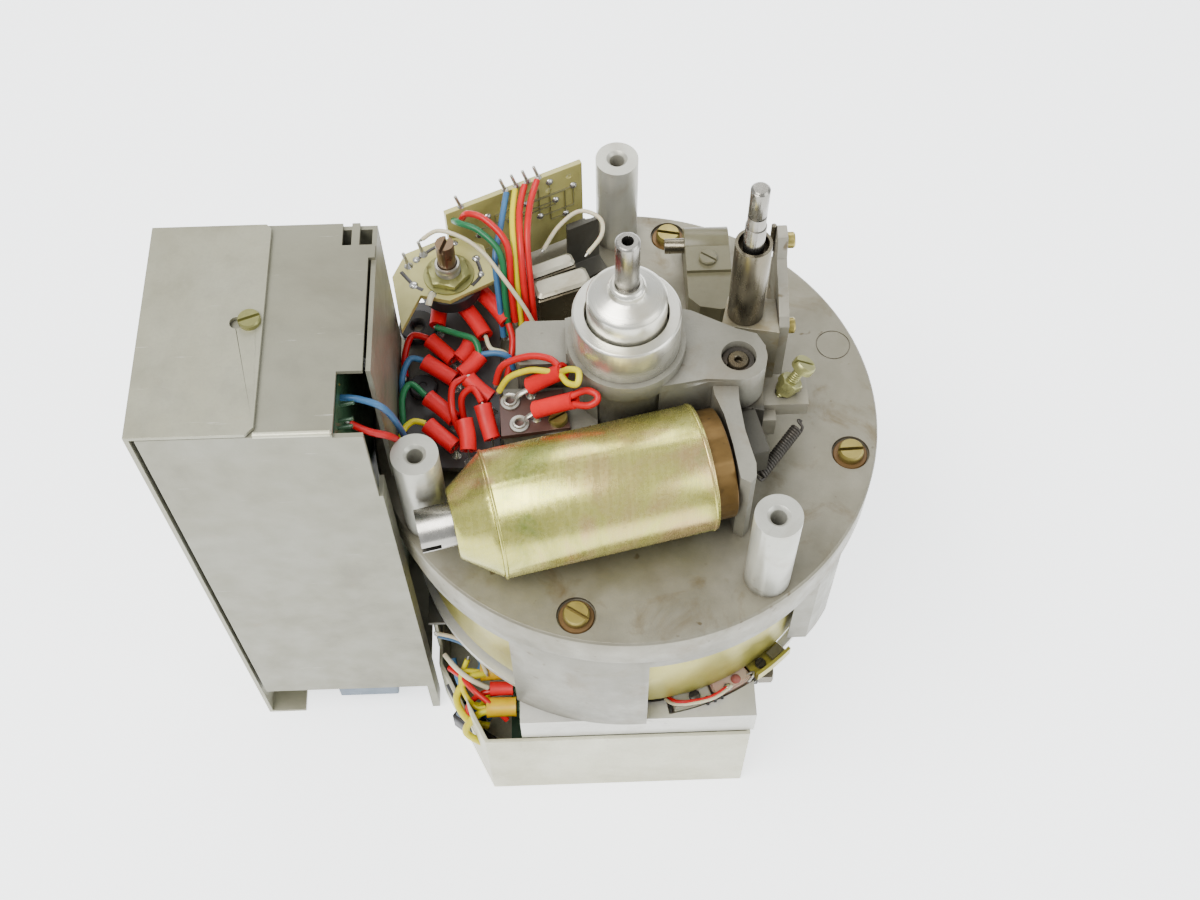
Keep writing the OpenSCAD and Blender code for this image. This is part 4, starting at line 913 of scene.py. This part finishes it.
def solder_tag(shape, foot, top, width=1.5):
    """Flat punched tag with a bent tip and a fillet of solder at its foot."""
    foot, top = Vector(foot), Vector(top)
    mid = foot.lerp(top, 0.55) + Vector((0, 0, 0.6))
    sweep(shape, smooth([foot, mid, top], 5), width / 2, "tinned", sides=12, squash=0.36)
    lathe(shape, [(1.5, 0), (1.25, 0.25), (0.85, 0.8), (0.5, 1.5), (0.2, 1.9)], "solder", place_at(foot), sides=20)


def wire_pin(shape, foot, top):
    sweep(shape, [foot, foot.lerp(top, 0.5), top, top + (top - foot).normalized() * 0.25], [0.5, 0.48, 0.46, 0.2],
          "tinned", sides=10)


def tags():
    shape = Shape()
    for outer, end in SLEEVES:
        solder_tag(shape, (end[0], end[1], 8), Vector(end) + (Vector(outer) - Vector(end)).normalized() * 1.6)
    for outer, end in LUG_SLEEVES:
        tip = Vector(end) + (Vector(outer) - Vector(end)).normalized() * 1.8
        solder_tag(shape, (end[0], end[1], 18.6), tip, 1.3)
    for s in (5, 18.4, 21.8, 25.2, 28.6):
        foot, top = REAR @ Vector((s, 0.8, 32.4)), REAR @ Vector((s - 1.2, 1.2, 37.3))
        wire_pin(shape, foot, top)
        lathe(shape, [(1.0, 0), (0.8, 0.3), (0.5, 0.9), (0.3, 1.2)], "solder",
              place_at(REAR @ Vector((s - 0.1, 0.8, 33.0))), sides=16)
    for x, y in ((-58.6, 34.6), (-54.6, 38.4)):
        foot, top = Vector((x, y, 24.4)), Vector((x - 1, y + 0.6, 29.2))
        wire_pin(shape, foot, top)
        lathe(shape, [(1.3, 0), (1.0, 0.35), (0.6, 0.9), (0.3, 1.3)], "solder", place_at(foot), sides=16)
    piece("solder_tags", shape, "root", replaces=["terminal_tags"], sharp=50)


def ring_lug(shape, center, toward):
    """Ring tongue with a barrel that leads into its sleeve."""
    c = Vector(center)
    lathe(shape, [(1.25, 0), (2.5, 0), (2.62, 0.2), (2.55, 0.62), (1.9, 0.72), (1.7, 1.3), (1.35, 1.4), (1.2, 1.2)],
          "tinned", place_at(c), sides=32, closed=True)
    t = (Vector(toward) - c)
    barrel = [c + t.normalized() * 1.9 + Vector((0, 0, 0.45)), c + t * 0.5 + Vector((0, 0, 0.8)), Vector(toward)]
    sweep(shape, smooth(barrel, 5), 0.8, "tinned", sides=12, squash=0.45)


def fittings():
    shape = Shape()
    lathe(shape, [(1.6, 8), (5.1, 8), (5.4, 8.3), (5.4, 9.7), (5.1, 10.1), (2.4, 10.1), (1.9, 9.7), (1.6, 9.2)],
          "black_plastic", place_at((-57.3, 24.7, 0)), closed=True)
    lathe(shape, [(3.8, 8), (3.8, 9.9), (3.4, 10.4), (1.2, 10.4), (1.0, 10.0), (0.1, 10.0)], "black_plastic",
          place_at((-55.4, 4.4, 0)))
    for center, (_, end) in zip(((-31, -7.2, 18.6), (-28.6, -14.2, 18.6)), LUG_SLEEVES):
        ring_lug(shape, center, (end[0], end[1], 21.8))
    seat = place_at(BOARD_SCREW, spin=math.radians(30))
    slotted_head(shape, 2.6, 1.8, 0.7, 0.9, "brass", seat, dome=0.5)
    thread(shape, 1.5, -11.6, 0.1, 0.6, "brass", seat)
    piece("board_fittings", shape, "root", replaces=["terminal_fittings"])


def potentiometer():
    seat = place_at(POT)
    shape = Shape()
    lathe(shape, [(2.55, 18.8), (2.55, 22.9), (3.0, 22.9), (3.0, 23.6), (3.5, 23.6), (3.5, 22.8), (7.9, 22.8),
                  (8.5, 22.3), (8.5, 18.3), (8.1, 17.8), (0.1, 17.8), (0.1, 18.8)], "black_plastic", seat, sides=56)
    lathe(shape, [(2.56, 22.8), (3.4, 22.8), (3.5, 23.0), (3.5, 26.4), (3.36, 26.6), (3.5, 26.8), (3.36, 27.1),
                  (3.5, 27.4), (3.36, 27.7), (3.5, 28.0), (3.36, 28.3), (3.5, 28.6), (3.5, 29.6), (3.3, 30.0),
                  (2.8, 30.0), (2.56, 29.7)], "tinned", seat, closed=True, sides=56)
    piece("potentiometer", shape, "root", replaces=["pot_body"])
    shape = Shape()
    lathe(shape, [(3.52, 24.4), (6.8, 24.4), (7.0, 24.6), (6.9, 24.85), (3.52, 24.9)], "pale_chromate", seat,
          closed=True, sides=56)
    hex_body(shape, 6.2, 2.1, "pale_chromate", place_at((POT[0], POT[1], 24.9), spin=0.3), bore=3.52)
    piece("potentiometer_nut", shape, "root", replaces=["pot_nut"])


def blocks():
    shape = Shape()
    for (x, y, turn), (sx, sy0, sy1) in (((-19.6, 36.9, 22), (7, -2.2, 2.4)), ((-16.6, 31, 19), (8, -3.2, 3.2))):
        at = Matrix.Translation((x, y, 0)) @ rotated(turn)
        block(shape, (-sx, sx), (sy0, sy1), (1.6, 18.2), "tube_steel", at, 0.35)
        block(shape, (-sx + 0.1, sx - 0.1), (sy0 + 0.1, sy1 - 0.1), (18.2, 20), "block_alloy", at, 0.8)
    at = Matrix.Translation((-18.2, 33.6, 0)) @ rotated(20)
    block(shape, (-8.4, 8.4), (-6.4, 6.6), (0, 1.6), "brown_phenolic", at, 0.3)
    piece("plug_blocks", shape, "root", replaces=["component_blocks"])


def board_tracks():
    """Solder joints and copper tracks that lie on the upright board and the potentiometer's board."""
    shape = Shape()
    face = -0.04
    spots = [(3.4, 28.5), (6.5, 12.0), (12.0, 25.6), (17.4, 29.0), (19.0, 20.0), (24.0, 24.6), (28.0, 17.0),
             (33.0, 21.6), (36.0, 14.0), (38.6, 25.0), (9.0, 19.0), (31.4, 30.2), (14.4, 14.4)]
    outward = REAR.to_3x3() @ Vector((0, -1, 0))
    for s, z in spots:
        lathe(shape, [(1.15, 0), (1.05, 0.25), (0.7, 0.6), (0.3, 0.85)], "solder",
              place_at(REAR @ Vector((s, face, z)), outward), sides=18)
    for a, b in zip(spots, spots[3:]):
        mid = (b[0], a[1])
        pts = [REAR @ Vector((p[0], face, p[1])) for p in (a, mid, b)]
        if (pts[1] - pts[0]).length > 1 and (pts[2] - pts[1]).length > 1:
            for p, q in ((pts[0], pts[1]), (pts[1], pts[2])):
                sweep(shape, [p, p.lerp(q, 0.5), q], 0.42, "dark_board", sides=8, squash=0.25)
    for x, y, r in ((-57, 28, 1.3), (-56.5, 36.6, 1.1), (-51.8, 24.8, 1.2), (-40, 36.5, 1.2), (-38.6, 31, 1.0),
                    (-46, 42, 1.0)):
        lathe(shape, [(r, 0), (r * 0.85, 0.25), (r * 0.45, 0.6)], "solder", place_at((x, y, 24.4)), sides=18)
    for pts in (((-60.6, 32.6), (-57, 28), (-54.4, 26.2)), ((-56.5, 36.6), (-51, 41), (-46, 42)),
                ((-40, 36.5), (-38.6, 31), (-41, 27.2))):
        sweep(shape, smooth([(x, y, 24.42) for x, y in pts], 4), 0.55, "black_phenolic", sides=8, squash=0.25)
    tail = smooth([(-51.8, 24.8, 24.6), (-52.2, 22.6, 25.4), (-52.8, 20.9, 24.6)], 5)
    sweep(shape, tail, 0.9, "cream_wire", sides=12, squash=0.6)
    piece("board_solder", shape, "root", sharp=50)


def lever_details():
    shape = Shape()
    wire = smooth([(44.0, 18.4, 24.5), (44.6, 18.2, 17.5), (43.9, 17.4, 12.5), (44.5, 16.6, 10.5), (43.9, 15.4, 5.0),
                   (43.8, 14.6, 2.6)], 6)
    sweep(shape, wire, 0.34, "dark_steel", sides=8)
    rod = [(40.2, 29.0, 34.0), (40.2, 29.0, 40.0), (40.1, 29.0, 44.4), (40.1, 29.0, 44.8)]
    sweep(shape, rod, [0.75, 0.75, 0.7, 0.3], "tube_steel", sides=14)
    piece("lever_wire_clip", shape, "lever")


def solenoid_rims():
    shape = Shape()
    axis = Matrix.Translation((-36, -40.6, 18.2)) @ rotated(12.5) @ Matrix.Rotation(math.pi / 2, 4, "Y")
    for t in (0.5, 55.1):
        lathe(shape, [(16.68, t - 0.42), (16.9, t - 0.3), (16.98, t), (16.9, t + 0.3), (16.68, t + 0.42)],
              "gold_chromate", axis, sides=96, closed=True)
    piece("solenoid_rolled_rims", shape, "root", sharp=60)


def ring_part(shape, bore, r, a0, a1, z0, z1, slot, steps=14):
    """Sector of a ring about the capstan axis."""
    section = [(bore, z0), (r, z0), (r, z1), (bore, z1)]
    verts = [polar(rr, a0 + (a1 - a0) * k / steps, z) for k in range(steps + 1) for rr, z in section]
    faces = [tuple(reversed(f)) for f in grid_faces(steps + 1, 4)]
    faces += [(0, 1, 2, 3), tuple(reversed([steps * 4 + k for k in range(4)]))]
    shape.add(verts, faces, slot)


def pickup_details():
    """Screw, wax, clips and leads of the two pickup heads."""
    shape = Shape()
    seat = place_at(polar(64, -73.6, -59.6), spin=0.4)
    slotted_head(shape, 1.7, 0.9, 0.5, 0.5, "dark_steel", seat, chamfer=0.2)
    lathe(shape, [(1.5, 0), (1.35, 0.35), (0.8, 0.7), (0.2, 0.8)], "red_wax",
          place_at(polar(64.2, -61.6, -59.6)), sides=20)
    for a in (-70.6, -68.6, -66.6):
        foot = Vector(polar(65.0, a, -60.4))
        clip = [foot, foot + Vector((0.3, -1.4, 1.2)), foot + Vector((0.4, -2.2, -0.4))]
        sweep(shape, smooth(clip, 5), 0.5, "black_plastic", sides=10)
    lathe(shape, [(1.3, 0), (1.1, 0.5), (0.5, 0.95)], "solder", place_at(polar(65.2, -64.6, -59.6)), sides=18)
    for route, steps, r, slot, sides in (
            (((65.2, -64.6, -59.2), (66.4, -70, -58.0), (65.8, -76, -57.4), (64.4, -79, -58.2), (62.0, -80.4, -60.0)),
             6, 0.5, "red_wire", 10),
            (((65.6, -63.6, -59.2), (67.0, -69, -58.2), (66.6, -75, -57.6), (65.0, -79.4, -58.8), (62.4, -81.2, -60.4)),
             6, 0.5, "cream_wire", 10),
            (((64.6, -58.4, -60.0), (65.6, -57.0, -58.4), (66.6, -57.8, -58.2), (66.8, -59.2, -59.4)),
             5, 0.36, "tinned", 8)):
        sweep(shape, smooth([polar(*p) for p in route], steps), r, slot, sides=sides)
    piece("pickup_details", shape, "root", sharp=50)
    shape = Shape()
    ring_part(shape, 60.6, 67.6, -57, -46, -60.7, -59.9, "rotor_chromate")
    ring_part(shape, 66.9, 67.9, -57, -46, -60.0, -56.0, "rotor_chromate")
    ring_part(shape, 63.2, 66.0, -50.5, -46.4, -59.9, -58.9, "beige_plastic")
    seat = place_at(polar(64.4, -53.6, -59.9), spin=0.8)
    slotted_head(shape, 1.6, 0.9, 0.5, 0.5, "dark_steel", seat, chamfer=0.2)
    ring_part(shape, 66.7, 67.4, -78, -57, -62.6, -61.6, "bracket_steel")
    piece("pickup_bracket", shape, "root", replaces=["tacho_bracket"])
    shape = Shape()
    for a0, a1, r1, slot in ((-79.5, -69, 66.6, "clear_grey_plastic"), (-68.4, -57.5, 66.2, "pink_plastic")):
        ring_part(shape, 61, r1, a0, a1, -67.6, -60.5, slot)
        ring_part(shape, 61.3, r1 - 0.4, a0 + 0.35, a1 - 0.35, -60.5, -59.7, slot)
    piece("pickup_heads", shape, "root", replaces=["tacho_heads"], bevel=0.25)


def box_details():
    shape = Shape()
    sweep(shape, [(-88.2, -40.2, 60.3), (-80, -40.2, 60.3), (-70.4, -40.2, 60.3), (-70.1, -40.2, 60.2)],
          [0.75, 0.75, 0.75, 0.3], "sheet_metal", sides=16)
    for y in (-18.1, -21.8):
        sweep(shape, [(-72.6, y, 48.0), (-71.2, y, 51.0), (-70.6, y, 52.6), (-70.5, y, 53.0)], [0.5, 0.5, 0.45, 0.2],
              "brass", sides=10)
    piece("box_edge_and_pins", shape, "root", sharp=50)


def tray_loom():
    """Held wiring and a plug in the open front left corner of the tray."""
    shape = Shape()
    runs = (
        ("yellow_wire", 1.15, ((-40, -44, -80), (-48.5, -45.5, -78.2), (-53.6, -50.2, -83), (-50.5, -55.5, -88.5),
                               (-44, -57.2, -90))),
        ("yellow_wire", 1.15, ((-38, -55.4, -80), (-46, -57.0, -79.4), (-50.8, -60.4, -85), (-46, -62.0, -92))),
        ("red_wire", 0.9, ((-37, -49.4, -80), (-45.5, -50.2, -80.6), (-50.4, -53.0, -86), (-47, -56.4, -93))),
        ("red_wire", 0.9, ((-56, -40, -84), (-52, -44.6, -80), (-48.2, -50.0, -77.4), (-42.2, -55.2, -78.4),
                           (-38, -58.4, -82))),
        ("blue_wire", 0.9, ((-55, -36, -86), (-53.6, -42.4, -88), (-49.4, -49.6, -92), (-43.6, -53.6, -94))),
        ("cream_wire", 0.8, ((-57, -38, -78), (-53.4, -43.0, -76.6), (-48.6, -47.4, -76.0), (-43.6, -49.2, -78.6))),
        ("black_plastic", 1.1, ((-57, -42, -92), (-53.6, -48.0, -95), (-48.0, -55.0, -98), (-41, -60.0, -99))))
    for slot, r, pts in runs:
        sweep(shape, smooth(pts, 8), r, slot, sides=14)
    plug = Matrix.Translation((-50.6, -52.4, -97)) @ rotated(-38)
    block(shape, (-4.5, 4.5), (-3.2, 3.2), (-5, 3.5), "black_plastic", plug, 0.5)
    for k in range(3):
        block(shape, (-3.6 + 2.6 * k, -1.6 + 2.6 * k), (-2.2, 2.2), (3.4, 4.6), "blue_grey_plastic", plug, 0.3)
    piece("tray_loom", shape, "root", sharp=50)


def floor_sheet():
    mesh = bpy.data.meshes.new("floor")
    n, size = 24, 3.0    # squares along a side, metres
    verts = [((i / n - 0.5) * size, (j / n - 0.5) * size, 0.0) for j in range(n + 1) for i in range(n + 1)]
    faces = [(j * (n + 1) + i, j * (n + 1) + i + 1, (j + 1) * (n + 1) + i + 1, (j + 1) * (n + 1) + i)
             for j in range(n) for i in range(n)]
    mesh.from_pydata(verts, [], faces)
    obj = bpy.data.objects.new("floor", mesh)
    bpy.context.scene.collection.objects.link(obj)
    b = Builder("floor")
    b.color = b.mix(b.span(b.noise(3, 3), 0.3, 0.7, 0.0, 1.0), rgba(rgb(247, 248, 248)), rgba(rgb(244, 246, 247)))
    b.rough = b.span(b.noise(40, 2), 0.3, 0.7, 0.75, 0.85)
    obj.data.materials.append(b.done(0.0, Emission_Color=(0.96, 0.98, 1.0, 1), Emission_Strength=1.7))


look_from_photo()
studio()
dress_cad_nodes()
for make in (wiring, sleeves, plate_fasteners, small_fasteners, adjuster, spring, pivot_with_clip, lower_bolt, tags,
             fittings, potentiometer, blocks, board_tracks, lever_details, solenoid_rims, pickup_details, box_details,
             tray_loom, floor_sheet):
    make()
